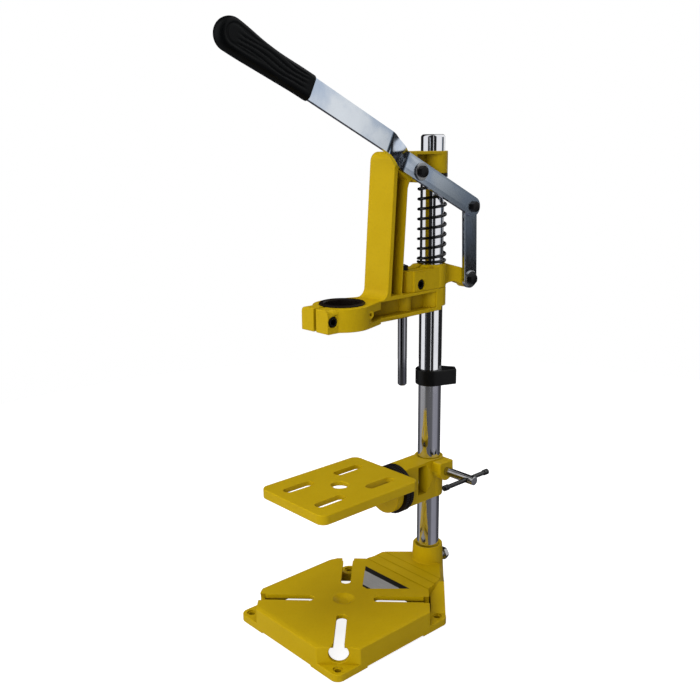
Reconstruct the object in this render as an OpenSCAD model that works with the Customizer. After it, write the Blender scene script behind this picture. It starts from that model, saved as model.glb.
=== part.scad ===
// Bench drill stand: cast base, round column, tilting table, stop collar, and a sprung
// carriage with a clamp ring that a lever and link pull down the column.
// The origin is on the bench, on the column's axis. -Y is the front, +X the lever's side.

/* [Column] */
// Diameter of the column
column_d = 25; // [22:0.5:28]
// Length of the column
column_len = 500; // [490:1:560]
// Radius of the rounded edge at the column's top
column_rim_r = 3; // [0.5:0.5:6]

/* [Base] */
// Width of the base casting
base_w = 158.4; // [140:0.2:200]
// Depth of the base casting without its rear extension
base_d = 159; // [140:1:200]
// Distance from the column's axis to the rear edge of the raised plate
base_rear_gap = 50.3; // [44:0.1:70]
// Height of the base's top face
base_h = 26.6; // [23:0.2:36]
// Wall thickness of the base casting
base_wall = 5; // [3:0.5:6]
// Radius of the base's outer corners
base_corner_r = 8.8; // [4:0.2:12]
// Height of the corner pads
pad_h = 8; // [5:0.5:10]
// Leg of the triangle that a corner facet cuts off
corner_cut = 30.5; // [26:0.5:38]
// Diameter of the screw holes in the corner pads
pad_hole_d = 6.5; // [4:0.5:8]
// Distance from the base's outer edges to the centres of those holes
pad_hole_inset = 9.2; // [7:0.1:11]
// Width of the diagonal slots
slot_w = 10.8; // [7:0.2:13]
// Distance from the plate's centre to the inner end of a diagonal slot
slot_inner = 32; // [24:1:45]
// Diameter of the round bolt entry in a corner facet
entry_d = 20; // [16:0.5:22]
// Height of the bolt entry's centre above the bench
entry_z = 19; // [17:0.5:20]
// Diameter of the dished recess in the middle of the plate
dish_d = 23.5; // [14:0.5:28]
// Outer diameter of the column socket at its top
socket_top_d = 33.6; // [31:0.1:38]
// Height of the column socket
socket_h = 48.5; // [40:0.5:56]
// Thickness of the floor under the column
socket_floor = 5; // [3:0.5:8]

/* [Table] */
// Height of the table bracket's lower face above the bench
bracket_z = 110; // [108:1:130]
// Height of the table bracket
bracket_h = 45; // [40:0.5:52]
// Outer diameter of the bracket's clamp ring
bracket_d = 31.6; // [30:0.1:36]
// Distance from the column's axis to the end of the bracket's arm
bracket_reach = 50.5; // [48:0.5:60]
// Height of the tilt axis above the bracket's lower face
tilt_h = 20.8; // [19:0.2:23]
// Diameter of the scale disc
scale_d = 53; // [46:0.5:56]
// Thickness of the scale disc
scale_t = 12; // [8:0.5:14]
// Diameter of the table's knuckle
knuckle_d = 46.5; // [44:0.5:52]
// Thickness of the table's knuckle
knuckle_t = 9.4; // [7:0.2:12]
// Width of the table plate
table_w = 98.4; // [88:0.2:110]
// Depth of the table plate
table_d = 132.2; // [122:0.2:150]
// Height of the table's top face above the tilt axis
table_rise = 26.8; // [26:0.2:30]
// Depth of the table's skirt
table_skirt = 10.2; // [8:0.2:11]
// Thickness of the table's top
table_t = 5; // [4:0.5:6]
// Width of the table's slots
table_slot_w = 11; // [6:0.2:12]
// Diameter of the hole in the middle of the table
table_hole_d = 18; // [10:0.5:20]
// Diameter of the clamp screw
tee_d = 9.6; // [8:0.2:11]
// Diameter of the tommy bar
tommy_d = 4.8; // [4:0.2:5.4]
// Length of the tommy bar
tommy_len = 73; // [60:1:84]

/* [Stop] */
// Height of the stop collar's lower face above the bench
stop_z = 239; // [224:1:242]
// Height of the stop collar
stop_h = 17; // [14:0.5:18]
// Outer diameter of the stop collar
stop_d = 31.8; // [30:0.2:36]
// Distance from the column's axis to the end of the stop collar's nose
stop_nose = 28.5; // [26:0.5:32]

/* [Head] */
// Height of the head collar's lower face above the bench
head_z = 347; // [347:1:360]
// Height of the head collar
head_h = 24.8; // [23:0.2:28]
// Outer diameter of the head collar
head_d = 31.2; // [30:0.1:36]
// Distance from the column's axis to the guide rod's axis
rod_offset = 43.4; // [42:0.2:46]
// Diameter of the guide rod
rod_d = 9.8; // [8:0.2:10.4]
// Distance from the column's axis to the link's lower pivot
link_foot_y = 43.5; // [42:0.5:48]
// Height of the link's lower pivot above the head collar's lower face
link_foot_h = 5; // [4:0.5:8]

/* [Carriage] */
// Travel of the carriage
feed_stroke = 60; // [40:1:62]
// Diameter of the drill clamp's bore
ring_bore_d = 43; // [40:0.5:45]
// Outer diameter of the clamp ring
ring_d = 58; // [54:0.5:62]
// Distance from the column's axis to the clamp ring's axis
ring_reach = 127.8; // [124:0.2:140]
// Height of the clamp ring
ring_h = 22.9; // [18:0.1:24]
// Bore of the reducer bush
reducer_bore_d = 35; // [30:0.5:39]
// Width of the carriage's beam
beam_w = 35; // [34:0.5:36]
// Height of the carriage's top face above the spring's upper end
top_arm_h = 26.6; // [24:0.2:30]
// Height of the carriage's lower arm
low_arm_h = 23.6; // [21:0.2:25]
// Thickness of the carriage's web
web_t = 6; // [4:0.5:8]

/* [Spring] */
// Length of the fitted feed spring
spring_len = 90; // [84:1:96]
// Diameter of the spring's wire
wire_d = 2.8; // [2:0.1:3]
// Number of turns of the spring
spring_turns = 9; // [6:1:11]

/* [Lever] */
// Distance between the lever's two pivots
lever_arm = 90.8; // [89:0.2:93]
// Distance between the link's two pivots
link_len = 78.1; // [77:0.1:80]
// Distance from the column's axis to the lever's pivot on the carriage
pivot_y = 41; // [40:0.2:43]
// Height of that pivot above the spring's upper end
pivot_h = 7.3; // [7:0.1:9]
// Width of the lever and link bars
bar_w = 20; // [16:0.5:21]
// Thickness of the lever and link bars
bar_t = 4; // [3:0.2:4.4]
// Sideways step of the lever's bend
lever_step = 18.3; // [16:0.1:24]
// Distance from the lever's pivot to the start of its bend
bend_from = 26.2; // [24:0.2:30]
// Length of the lever's bend along the bar
bend_len = 38.7; // [34:0.1:46]
// Distance from the lever's pivot to the grip
grip_from = 171; // [140:0.5:200]
// Length of the grip
grip_len = 101; // [90:0.5:130]
// Width of the grip
grip_w = 28; // [24:0.5:34]
// Thickness of the grip
grip_t = 15; // [12:0.5:20]

/* [Fits] */
// Radial running clearance on the column and the guide rod
run_gap = 0.05; // [0.03:0.01:0.1]
// Gap between faces of pieces that move past each other
slip_gap = 0.3; // [0.2:0.05:0.4]
// Gap between a fixed piece and the pocket that holds it
seat_gap = 0.1; // [0.05:0.05:0.2]
// Radial clearance of a bolt in its hole
bolt_gap = 0.1; // [0.05:0.05:0.2]

/* [Hidden] */
$fn = 64;
// One overrun serves every cut
over = 1;

// Colours
yellow = "gold";
bright = "silver";
black = "dimgray";

// Fasteners: shank radius, width across flats, head and nut heights, washer, recess for the key
m6_r = 3;
m6_af = 10;
m6_head = 4;
m6_nut = 5;
m6_washer_r = 8.8;
m6_washer_t = 1.4;
m6_cap_r = 5;
m6_cap_h = 6;
m6_key_af = 5;
key_depth = 3;
m8_r = 4;
m8_af = 13;
m8_head = 5.3;
m10_r = 5;
m10_af = 17;
m10_head = 6.4;
m10_nut = 8;
m10_washer_r = 10.5;
m10_washer_t = 2;

// Places on the column
column_r = column_d / 2;
column_bore_r = column_r + run_gap;

// Places on the base
base_rear_y = -base_rear_gap;
base_front_y = base_rear_y - base_d;
plate_y = (base_front_y + base_rear_y) / 2;
half_w = base_w / 2;
half_d = base_d / 2;
facet_reach = (half_w + half_d - corner_cut) / sqrt(2);
bevel_in = 6;
bevel_drop = 2.1;
foot_lift = 2;
foot_front_share = 0.5;
foot_side_share = 0.25;
socket_flare = 2.4;
socket_chamfer = 1.8;
rib_t = 4;
dish_depth = 4;
dish_floor_d = 9;
dish_wall = 5;
dish_boss_h = 11;
pad_sink_d = 10;
pad_sink_depth = 1.5;
socket_low_r = socket_top_d / 2 + socket_flare;
// Half widths and rear distances of the rear extension's steps
step_w_share = [0.61, 0.58, 0.55];
step_y_share = [1, 0.746, 0.517];
step_rise = 0.8;
// A ramp runs from each side of the extension down to the rear pad, along the diagonal
ramp_root = 6;
ramp_from = 52;
ramp_to = 88;
ramp_low = 6.9;
ramp_in = 1;
ramp_out = 16.5;
column_bolt_z = 25;
column_bolt_stand = 8.1;

// The foil label lies on the plate in front of the extension
label_t = 0.4;
label_gap_y = 14.2;
label_w = 69;
label_d = 33.5;
label_tip_w = 7;
label_shift = -1.5;

// Places on the table and its bracket
tilt_z = bracket_z + tilt_h;
disc_front_y = -bracket_reach - scale_t;
knuckle_rear_y = disc_front_y - slip_gap;
knuckle_front_y = knuckle_rear_y - knuckle_t;
knuckle_set_share = 0.4;
table_rear_y = knuckle_rear_y - knuckle_t * knuckle_set_share;
table_front_y = table_rear_y - table_d;
table_top_z = tilt_z + table_rise;
table_corner_r = 8.9;
table_wall = 4;
slot_x_share = 0.25;
slot_len_share = 0.285;
slot_y_share = [0.087, 0.597];
table_hole_share = 0.485;
table_cut_shift = 1.2;
gusset_t = 5;
gusset_x = 12;
gusset_len = 38;
bracket_top = bracket_z + bracket_h;
bracket_arm_left = 12;
bracket_arm_right = 15;
bracket_chamfer = 1.5;
clamp_boss_r = 10.5;
clamp_boss_len = 11.2;
clamp_drop = 1.4;
clamp_boss_x = bracket_d / 2 + clamp_boss_len;
clamp_z = bracket_top - clamp_boss_r - clamp_drop;
tee_x = column_r + seat_gap;
tee_stand = 40;
tee_end_x = clamp_boss_x + tee_stand;
tommy_inset = 9;
tommy_x = tee_end_x - tommy_inset;
tommy_shift = -3.5;
tommy_end_d = 6.2;
tommy_end_len = 8;
pocket_low = 11.3;
pocket_h = 32.5;
pocket_w = 12.5;
pocket_reach = 10;
pocket_skin = 18;
pivot_nut_y = -bracket_reach + pocket_skin;
pivot_bolt_spare = 2;

// Places on the stop collar
stop_angle = 49;
stop_tip_half = 6;
stop_screw_r = 3;
stop_side_share = 0.97;
stop_screw_sink = 1.5;

// Places on the head collar
head_r = head_d / 2;
head_top = head_z + head_h;
lug_drop = 3;
lug_top = head_top - lug_drop;
lug_pad_t = 0.6;
lug_half = head_r - lug_pad_t;
lug_tip_half = 12;
lug_tip_len = 6;
lug_front_y = -rod_offset - lug_tip_len;
lug_shoulder = 1.4;
lug_shoulder_y = lug_shoulder - rod_offset;
lug_slope = 6;
lug_pad_from = 24;
lug_pad_to = 41.5;
lug_pad_edge = 1.5;
slit_w = 2.4;
head_screw_y = -31.5;
head_screw_h = 7;
head_screw_z = head_z + head_screw_h;
cap_sink = 7;
cap_gap = 0.6;
cap_hole_r = m6_cap_r + cap_gap;
arm_face_x = 13.8;
arm_t = 10;
arm_boss_r = 9.5;
arm_root_half = 5;
arm_drop = 2;
arch_rise = 3.5;
// The arm's corners from above and from the side, as shares of its reach and of its boss
arm_bend_share = [0.5, 0.76, 0.83, 0.55];
arch_share = 0.62;
arm_under_share = [0.8, 0.6];
arm_over_share = [0.64, 0.77];
arm_top_share = [0.7, 0.45];
arm_slope_share = 0.4;
rod_r = rod_d / 2;
rod_bore_r = rod_r + run_gap;
rod_spare = 17.8;
rod_chamfer = 1.6;
rod_stud_h = 6;

// Places on the carriage
spring_top = head_top + spring_len;
seat_h = 4;
seat_r = 15.7;
carriage_boss_r = 15.6;
low_top = head_z - slip_gap;
low_z = low_top - low_arm_h;
carriage_top = spring_top + top_arm_h;
beam_front = 72.3;
beam_lean_share = 0.072;
beam_depth = 20.5;
beam_corner_r = 10;
beam_foot_r = 10;
inner_r = 9;
inner_low_r = 4;
front_flange = 4.7;
rear_flange = 2;
top_flange = 3;
low_flange = 4;
arm_half_at_boss = 15.6;
recess_end_drop = 7;
pivot_boss_r = 11;
pivot_socket_r = 7.4;
ring_drop = 2.2;
ring_top = low_top - ring_drop;
ring_z = ring_top - ring_h;
ring_y = -ring_reach;
ring_r = ring_d / 2;
ear_half = 19.3;
ear_reach = 35.2;
ear_round = 5;
ear_screw_reach = 28.4;
ear_screw_y = ring_y - ear_screw_reach;
ear_screw_z = (ring_top + ring_z) / 2;
ring_slit_w = 3.7;
reducer_rim = 1.3;
reducer_flange_t = 1.8;
rod_boss_r = 9;
neck_reach = 36;
neck_band = 8;
side_boss_r = 4;
side_boss_reach = 14.2;
side_boss_y = ring_y + side_boss_reach;
side_boss_rise = 2.2;
side_boss_z = ear_screw_z + side_boss_rise;
side_boss_x = 26;
side_hole_r = 1.7;
side_hole_depth = 8;
rod_bottom = low_z - feed_stroke - rod_spare;

// The lever and link in side view: the pivot that joins them is where two circles meet
pivot_z = spring_top + pivot_h;
foot_z = head_z + link_foot_h;
span_y = link_foot_y + pivot_y;
span_z = foot_z - pivot_z;
span = norm([span_y, span_z]);
along = (span * span + lever_arm * lever_arm - link_len * link_len) / (2 * span);
aside = sqrt(lever_arm * lever_arm - along * along);
joint_y = -pivot_y + (along * span_y - aside * span_z) / span;
joint_z = pivot_z + (along * span_z + aside * span_y) / span;
lever_tilt = atan2(pivot_z - joint_z, joint_y + pivot_y);
link_tilt = atan2(joint_y - link_foot_y, joint_z - foot_z);
lever_stand = 1;
lever_in_x = beam_w / 2 + lever_stand;
lever_out_x = lever_in_x + bar_t;
link_out_x = lever_in_x - slip_gap;
link_in_x = link_out_x - bar_t;
// The link's upper eye is wide, because the upper pivot's real path is a curve
link_eye_r = 6.8;
bend_angle = atan(lever_step / bend_len);
bar_tail = 70;
grip_end_share = 0.86;
grip_round = 5;

// Places on the spring. Its rings' flats clear the column
spring_gap = 0.15;
curl_rings = 8;
wire_sides = 6;
wire_r = wire_d / 2;
spring_r = (column_r + spring_gap + wire_r * cos(180 / wire_sides)) / cos(180 / curl_rings);
end_gap = 0.7;

// Helpers

// Points of an arc round c from angle a0 to a1
function arc(c, r, a0, a1, steps = 8) =
    [for (i = [0:steps]) let(a = a0 + (a1 - a0) * i / steps) c + r * [cos(a), sin(a)]];

// Mirrors an outline's points across the Y axis and closes it
function both_sides(points) =
    concat(points, [for (i = [len(points) - 1:-1:0]) [-points[i].x, points[i].y]]);

// Extrudes a side outline, drawn as (y, z), from x0 to x1
module side_extrude(x0, x1) {
    translate([x0, 0, 0]) rotate([90, 0, 90]) linear_extrude(x1 - x0) children();
}

// A round bar along X from x0 to x1
module x_bar(r, x0, x1, y, z) {
    translate([x0, y, z]) rotate([0, 90, 0]) cylinder(r = r, h = x1 - x0);
}

// A round bar along Y from y0 to y1
module y_bar(r, y0, y1, x, z) {
    translate([x, y1, z]) rotate([90, 0, 0]) cylinder(r = r, h = y1 - y0);
}

// A box between two corners
module box(low, high) {
    translate(low) cube(high - low);
}

// A six-sided prism of a given width across flats
module hex_prism(across, h) {
    cylinder(d = across / cos(30), h = h, $fn = 6);
}

// A rectangle round the origin with rounded corners
module rounded_rect(w, d, r) {
    square([w - 2 * r, d], center = true);
    square([w, d - 2 * r], center = true);
    for (sx = [-1, 1], sy = [-1, 1])
        translate([sx * (w / 2 - r), sy * (d / 2 - r)]) circle(r);
}

// A slot along X with round ends, from the origin to reach
module slot_2d(reach, w) {
    translate([w / 2, 0]) circle(w / 2);
    translate([w / 2, -w / 2]) square([reach - w, w]);
    translate([reach - w / 2, 0]) circle(w / 2);
}

// A hex bolt along -Z: its shank starts at the origin and its head stands above
module hex_bolt(r, across, head, shank) {
    hex_prism(across, head);
    translate([0, 0, -shank]) cylinder(r = r, h = shank + head / 2);
}

// A socket screw along -Z, with its head above the origin
module cap_screw(shank) {
    difference() {
        union() {
            cylinder(r = m6_cap_r, h = m6_cap_h);
            translate([0, 0, -shank]) cylinder(r = m6_r, h = shank + m6_cap_h / 2);
        }
        translate([0, 0, m6_cap_h - key_depth]) hex_prism(m6_key_af, key_depth + over);
    }
}

// A hex nut or washer standing on the origin
module nut(across, h, bore_r) {
    difference() {
        hex_prism(across, h);
        translate([0, 0, -over]) cylinder(r = bore_r, h = h + 2 * over);
    }
}

module washer(r, h, bore_r) {
    difference() {
        cylinder(r = r, h = h);
        translate([0, 0, -over]) cylinder(r = bore_r, h = h + 2 * over);
    }
}

// Lays what is drawn along +Z so that it runs along +X from x, at y and z
module facing_right(x, y, z) {
    translate([x, y, z]) rotate([0, 90, 0]) children();
}

// The bore for the column, open at both ends
module column_bore(z0, z1) {
    translate([0, 0, z0 - over]) cylinder(r = column_bore_r, h = z1 - z0 + 2 * over);
}

// Base

// The raised plate's outline round its own centre, set in from the walls by inset
function plate_points(inset) =
    let(w = half_w - inset, d = half_d - inset, c = corner_cut - inset * (2 - sqrt(2)))
    [[w - c, -d], [w, -d + c], [w, d - c], [w - c, d],
     [-w + c, d], [-w, d - c], [-w, -d + c], [-w + c, -d]];

// The rear extension's outline from one of its steps back to the socket
function extension_points(first, inset) =
    both_sides(concat(
        [for (i = [first:2]) [half_w * step_w_share[i] - inset, -base_rear_gap * step_y_share[i]]],
        [[socket_low_r - inset, 0]]));

// A wedge that takes the edge off along one side of the plate, at a given reach
module plate_bevel(reach, length) {
    rotate([90, 0, 0]) translate([0, 0, -length / 2]) linear_extrude(length)
        polygon([[reach - bevel_in, base_h], [reach + bevel_in, base_h - 2 * bevel_drop],
                 [reach + bevel_in, base_h + over], [reach - bevel_in, base_h + over]]);
}

// The ramp beside the extension
module corner_ramp() {
    rotate([0, 0, -45]) translate([0, ramp_out, 0]) rotate([90, 0, 0])
        linear_extrude(ramp_out - ramp_in) polygon([[ramp_root, 0], [ramp_to, 0],
            [ramp_to, ramp_low], [ramp_from, base_h], [ramp_root, base_h]]);
}

module base_body() {
    translate([0, plate_y, 0]) {
        linear_extrude(pad_h) rounded_rect(base_w, base_d, base_corner_r);
        difference() {
            linear_extrude(base_h) polygon(plate_points(0));
            plate_bevel(half_w, 2 * base_d);
            mirror([1, 0, 0]) plate_bevel(half_w, 2 * base_d);
            rotate([0, 0, -90]) plate_bevel(half_d, 2 * base_w);
        }
    }
    for (i = [0:2])
        linear_extrude(base_h + step_rise * (i + 1)) polygon(extension_points(i, 0));
    for (side = [0, 1])
        mirror([side, 0, 0]) corner_ramp();
    cylinder(r1 = socket_low_r, r2 = socket_top_d / 2, h = socket_h);
}

// The hollow under the plate, with the ribs and the boss left standing
module base_hollow() {
    difference() {
        translate([0, 0, -over]) {
            translate([0, plate_y, 0]) linear_extrude(base_h - base_wall + over)
                polygon(plate_points(base_wall));
            linear_extrude(base_h - base_wall + over) difference() {
                polygon(extension_points(0, base_wall));
                circle(socket_low_r);
            }
        }
        box([-rib_t / 2, base_front_y, pad_h], [rib_t / 2, base_rear_y, base_h]);
        box([-half_w, plate_y - rib_t / 2, pad_h], [half_w, plate_y + rib_t / 2, base_h]);
        translate([0, plate_y, base_h - dish_boss_h])
            cylinder(d = dish_d + 2 * dish_wall, h = dish_boss_h);
    }
}

// One diagonal slot with the bolt entry through its corner facet
module diagonal_slot() {
    reach = facet_reach + over;
    translate([0, 0, entry_z]) linear_extrude(base_h) {
        translate([slot_inner + slot_w / 2, 0]) circle(slot_w / 2);
        translate([slot_inner + slot_w / 2, -slot_w / 2])
            square([reach - slot_inner - slot_w / 2, slot_w]);
    }
    x_bar(entry_d / 2, facet_reach - base_wall - over, reach, 0, entry_z);
}

module base_plate() {
    color(yellow) difference() {
        base_body();
        base_hollow();
        translate([0, plate_y, 0]) {
            for (a = [45:90:315]) rotate([0, 0, a]) diagonal_slot();
            translate([0, 0, base_h - dish_depth])
                cylinder(d1 = dish_floor_d, d2 = dish_d, h = dish_depth);
            translate([0, 0, base_h]) cylinder(d = dish_d, h = over);
            for (sx = [-1, 1], sy = [-1, 1])
                translate([sx * (half_w - pad_hole_inset), sy * (half_d - pad_hole_inset), 0]) {
                    translate([0, 0, -over]) cylinder(d = pad_hole_d, h = base_h);
                    translate([0, 0, pad_h - pad_sink_depth]) cylinder(d = pad_sink_d, h = over
                        + pad_sink_depth);
                }
        }
        box([-half_w * foot_front_share, base_front_y - over, -over],
            [half_w * foot_front_share, -socket_low_r - base_wall, foot_lift]);
        box([-half_w - over, base_front_y + base_d * foot_side_share, -over],
            [half_w + over, base_rear_y - base_d * foot_side_share, foot_lift]);
        translate([0, 0, socket_floor]) cylinder(r = column_bore_r, h = socket_h);
        translate([0, 0, socket_h - socket_chamfer]) cylinder(r1 = column_bore_r,
            r2 = column_bore_r + socket_chamfer + over, h = socket_chamfer + over);
        y_bar(m8_r + bolt_gap, 0, 2 * socket_low_r, 0, column_bolt_z);
    }
}

module column() {
    color(bright) translate([0, 0, socket_floor]) rotate_extrude() {
        square([column_r - column_rim_r, column_len]);
        square([column_r, column_len - column_rim_r]);
        intersection() {
            translate([column_r - column_rim_r, column_len - column_rim_r]) circle(column_rim_r);
            translate([0, column_len - column_rim_r]) square(column_r);
        }
    }
}

module column_bolt() {
    head_y = socket_top_d / 2 + column_bolt_stand;
    color(bright) translate([0, head_y, column_bolt_z]) rotate([-90, 0, 0])
        hex_bolt(m8_r, m8_af, m8_head, head_y - column_r - seat_gap);
}

module label_plate() {
    rear_y = base_rear_y - label_gap_y;
    color(bright) translate([label_shift, 0, base_h]) linear_extrude(label_t)
        polygon(both_sides([[label_w / 2, rear_y], [label_tip_w / 2, rear_y - label_d]]));
}

// Table

module table_bracket() {
    color(yellow) difference() {
        union() {
            translate([0, 0, bracket_z]) cylinder(d = bracket_d, h = bracket_h);
            box([-bracket_arm_left, -bracket_reach, bracket_z], [bracket_arm_right, 0, bracket_top]);
            x_bar(clamp_boss_r, 0, clamp_boss_x, 0, clamp_z);
            box([0, -clamp_boss_r, clamp_z], [clamp_boss_x, clamp_boss_r, clamp_z + clamp_boss_r]);
        }
        column_bore(bracket_z, bracket_top);
        translate([0, 0, bracket_top - bracket_chamfer]) cylinder(r1 = column_bore_r,
            r2 = column_bore_r + bracket_chamfer + over, h = bracket_chamfer + over);
        box([-pocket_reach, pivot_nut_y, tilt_z - pocket_low],
            [bracket_d, pivot_nut_y + pocket_w, tilt_z - pocket_low + pocket_h]);
        y_bar(m10_r + bolt_gap, -bracket_reach - over, pivot_nut_y + over, 0, tilt_z);
        x_bar(tee_d / 2 + run_gap, 0, clamp_boss_x + over, 0, clamp_z);
    }
}

module scale_disc() {
    color(black) difference() {
        y_bar(scale_d / 2, disc_front_y, -bracket_reach, 0, tilt_z);
        y_bar(m10_r + bolt_gap, disc_front_y - over, over - bracket_reach, 0, tilt_z);
    }
}

// The table's slots and middle hole, drawn round the middle of its front edge
module table_cuts() {
    for (sx = [-1, 1], start = slot_y_share)
        translate([sx * table_w * slot_x_share, table_d * start]) rotate(90)
            slot_2d(table_d * slot_len_share, table_slot_w);
    translate([0, table_d * table_hole_share]) circle(d = table_hole_d);
}

module table_plate() {
    under_z = table_top_z - table_t;
    color(yellow) difference() {
        union() {
            translate([0, (table_front_y + table_rear_y) / 2, table_top_z - table_skirt])
                linear_extrude(table_skirt) rounded_rect(table_w, table_d, table_corner_r);
            y_bar(knuckle_d / 2, knuckle_front_y, knuckle_rear_y, 0, tilt_z);
        }
        difference() {
            translate([0, (table_front_y + table_rear_y) / 2, table_top_z - table_skirt - over])
                linear_extrude(table_skirt - table_t + over)
                    rounded_rect(table_w - 2 * table_wall, table_d - 2 * table_wall,
                                 table_corner_r - table_wall);
            y_bar(knuckle_d / 2, knuckle_front_y, knuckle_rear_y, 0, tilt_z);
            for (sx = [-1, 1])
                box([sx * gusset_x - gusset_t / 2, knuckle_front_y - gusset_len, tilt_z],
                    [sx * gusset_x + gusset_t / 2, knuckle_front_y + over, table_top_z]);
        }
        translate([table_cut_shift, table_front_y, under_z - over])
            linear_extrude(table_t + 2 * over) table_cuts();
        y_bar(m10_r + run_gap, knuckle_front_y - over, knuckle_rear_y + over, 0, tilt_z);
    }
}

module table_pivot_bolt() {
    head_y = knuckle_front_y - m10_washer_t - slip_gap;
    color(bright) translate([0, head_y, tilt_z]) rotate([90, 0, 0]) hex_bolt(m10_r, m10_af,
        m10_head, pivot_nut_y + m10_nut + pivot_bolt_spare - head_y);
}

module table_pivot_washer() {
    color(bright) translate([0, knuckle_front_y - slip_gap, tilt_z]) rotate([90, 0, 0])
        washer(m10_washer_r, m10_washer_t, m10_r + bolt_gap);
}

module table_pivot_nut() {
    color(bright) translate([0, pivot_nut_y, tilt_z]) rotate([-90, 0, 0])
        nut(m10_af, m10_nut, m10_r + bolt_gap);
}

module table_clamp_screw() {
    color(bright) difference() {
        x_bar(tee_d / 2, tee_x, tee_end_x, 0, clamp_z);
        y_bar(tommy_d / 2 + run_gap, -tee_d, tee_d, tommy_x, clamp_z);
    }
}

module tommy_bar() {
    half = tommy_len / 2;
    color(bright) translate([0, tommy_shift, 0]) {
        y_bar(tommy_d / 2, -half, half, tommy_x, clamp_z);
        y_bar(tommy_end_d / 2, -half, tommy_end_len - half, tommy_x, clamp_z);
        y_bar(tommy_end_d / 2, half - tommy_end_len, half, tommy_x, clamp_z);
    }
}

// Stop

module stop_collar() {
    r = stop_d / 2;
    tangent_at = atan2(stop_tip_half, stop_nose) + acos(r / norm([stop_nose, stop_tip_half]));
    side = r * stop_side_share;
    color(black) translate([0, 0, stop_z]) rotate([0, 0, stop_angle]) difference() {
        union() {
            cylinder(r = r, h = stop_h);
            linear_extrude(stop_h)
                polygon([side * [cos(tangent_at), sin(tangent_at)], [stop_nose, stop_tip_half],
                         [stop_nose, -stop_tip_half], side * [cos(tangent_at), -sin(tangent_at)]]);
        }
        column_bore(0, stop_h);
        x_bar(stop_screw_r + bolt_gap, 0, stop_nose + over, 0, stop_h / 2);
    }
}

module stop_screw() {
    end = stop_nose - stop_screw_sink;
    color(black) translate([0, 0, stop_z + stop_h / 2]) rotate([0, 0, stop_angle]) difference() {
        x_bar(stop_screw_r, column_r + seat_gap, end, 0, 0);
        facing_right(end - key_depth, 0, 0) hex_prism(stop_screw_r, key_depth + over);
    }
}

// Head

// The arm's outline from above, from the ring to the link's pivot
function arm_plan() =
    let(bend = link_foot_y * arm_bend_share, end_y = link_foot_y + arm_boss_r)
    [[-arm_root_half, 0], [arm_root_half, 0], [arm_root_half, bend[0]], [arm_face_x, bend[1]],
     [arm_face_x, end_y], [arm_face_x - arm_t, end_y], [arm_face_x - arm_t, bend[2]],
     [-arm_root_half, bend[3]]];

module head_arm() {
    under = arm_boss_r * arm_under_share;
    upper = arm_boss_r * arm_over_share;
    top_z = head_top - arm_drop;
    intersection() {
        translate([0, 0, foot_z - arm_boss_r]) linear_extrude(head_h + arm_boss_r)
            polygon(arm_plan());
        side_extrude(-head_r, head_r) {
            polygon([[0, head_z], [head_r, head_z], [link_foot_y * arch_share, head_z + arch_rise],
                [link_foot_y - under[0], foot_z - under[1]], [link_foot_y, foot_z],
                [link_foot_y + upper[0], foot_z + upper[1]],
                [link_foot_y * arm_top_share[0], top_z - arm_boss_r * arm_slope_share],
                [link_foot_y * arm_top_share[1], top_z], [0, top_z]]);
            translate([link_foot_y, foot_z]) circle(arm_boss_r);
        }
    }
}

module head_collar() {
    color(yellow) difference() {
        union() {
            translate([0, 0, head_z]) cylinder(r = head_r, h = head_h);
            translate([0, 0, head_z]) linear_extrude(head_h - lug_drop)
                polygon(both_sides([[lug_half, 0], [lug_half, lug_shoulder_y],
                                    [lug_tip_half, lug_shoulder_y], [lug_tip_half, lug_front_y]]));
            side_extrude(-lug_tip_half, lug_tip_half) polygon([[0, lug_top], [0, head_top],
                [-head_r, head_top], [-head_r - lug_slope, lug_top]]);
            box([0, -lug_pad_to, head_z + lug_pad_edge],
                [head_r, -lug_pad_from, lug_top - lug_pad_edge]);
            head_arm();
        }
        column_bore(head_z, head_top);
        translate([0, -rod_offset, head_z - over])
            cylinder(r = rod_r + seat_gap / 2, h = head_h + 2 * over);
        box([-slit_w / 2, lug_front_y - over, head_z - over], [slit_w / 2, 0, head_top + over]);
        x_bar(m6_r + bolt_gap, -head_d, head_d, head_screw_y, head_screw_z);
        x_bar(cap_hole_r, head_r - cap_sink, head_d, head_screw_y, head_screw_z);
        facing_right(-head_d, head_screw_y, head_screw_z)
            hex_prism(m6_af + 2 * seat_gap, head_d - head_r + m6_nut);
        x_bar(m6_r + bolt_gap, 0, head_d, link_foot_y, foot_z);
    }
}

module head_clamp_screw() {
    color(black) facing_right(head_r - cap_sink, head_screw_y, head_screw_z)
        cap_screw(2 * head_r - cap_sink - key_depth / 2);
}

module head_clamp_nut() {
    color(bright) facing_right(-head_r, head_screw_y, head_screw_z)
        nut(m6_af, m6_nut, m6_r + bolt_gap);
}

module guide_rod() {
    color(bright) translate([0, -rod_offset, 0]) {
        translate([0, 0, rod_bottom]) cylinder(r1 = rod_r - rod_chamfer, r2 = rod_r, h = rod_chamfer);
        translate([0, 0, rod_bottom + rod_chamfer])
            cylinder(r = rod_r, h = lug_top - rod_bottom - rod_chamfer);
        translate([0, 0, lug_top - over]) cylinder(r = m6_r, h = rod_stud_h + over);
    }
}

module guide_rod_nut() {
    color(black) translate([0, -rod_offset, lug_top]) nut(m6_af, m6_nut, m6_r + bolt_gap);
}

module link_low_washer() {
    color(bright) facing_right(link_out_x + slip_gap / 2, link_foot_y, foot_z)
        washer(m6_washer_r, m6_washer_t, m6_r + bolt_gap);
}

module link_low_bolt() {
    head_x = link_out_x + slip_gap / 2 + m6_washer_t;
    color(black) facing_right(head_x, link_foot_y, foot_z)
        hex_bolt(m6_r, m6_af, m6_head, head_x - arm_face_x + arm_t + m6_nut + over);
}

module link_low_nut() {
    color(bright) facing_right(arm_face_x - arm_t - m6_nut, link_foot_y, foot_z)
        nut(m6_af, m6_nut, m6_r + bolt_gap);
}

// Carriage

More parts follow.
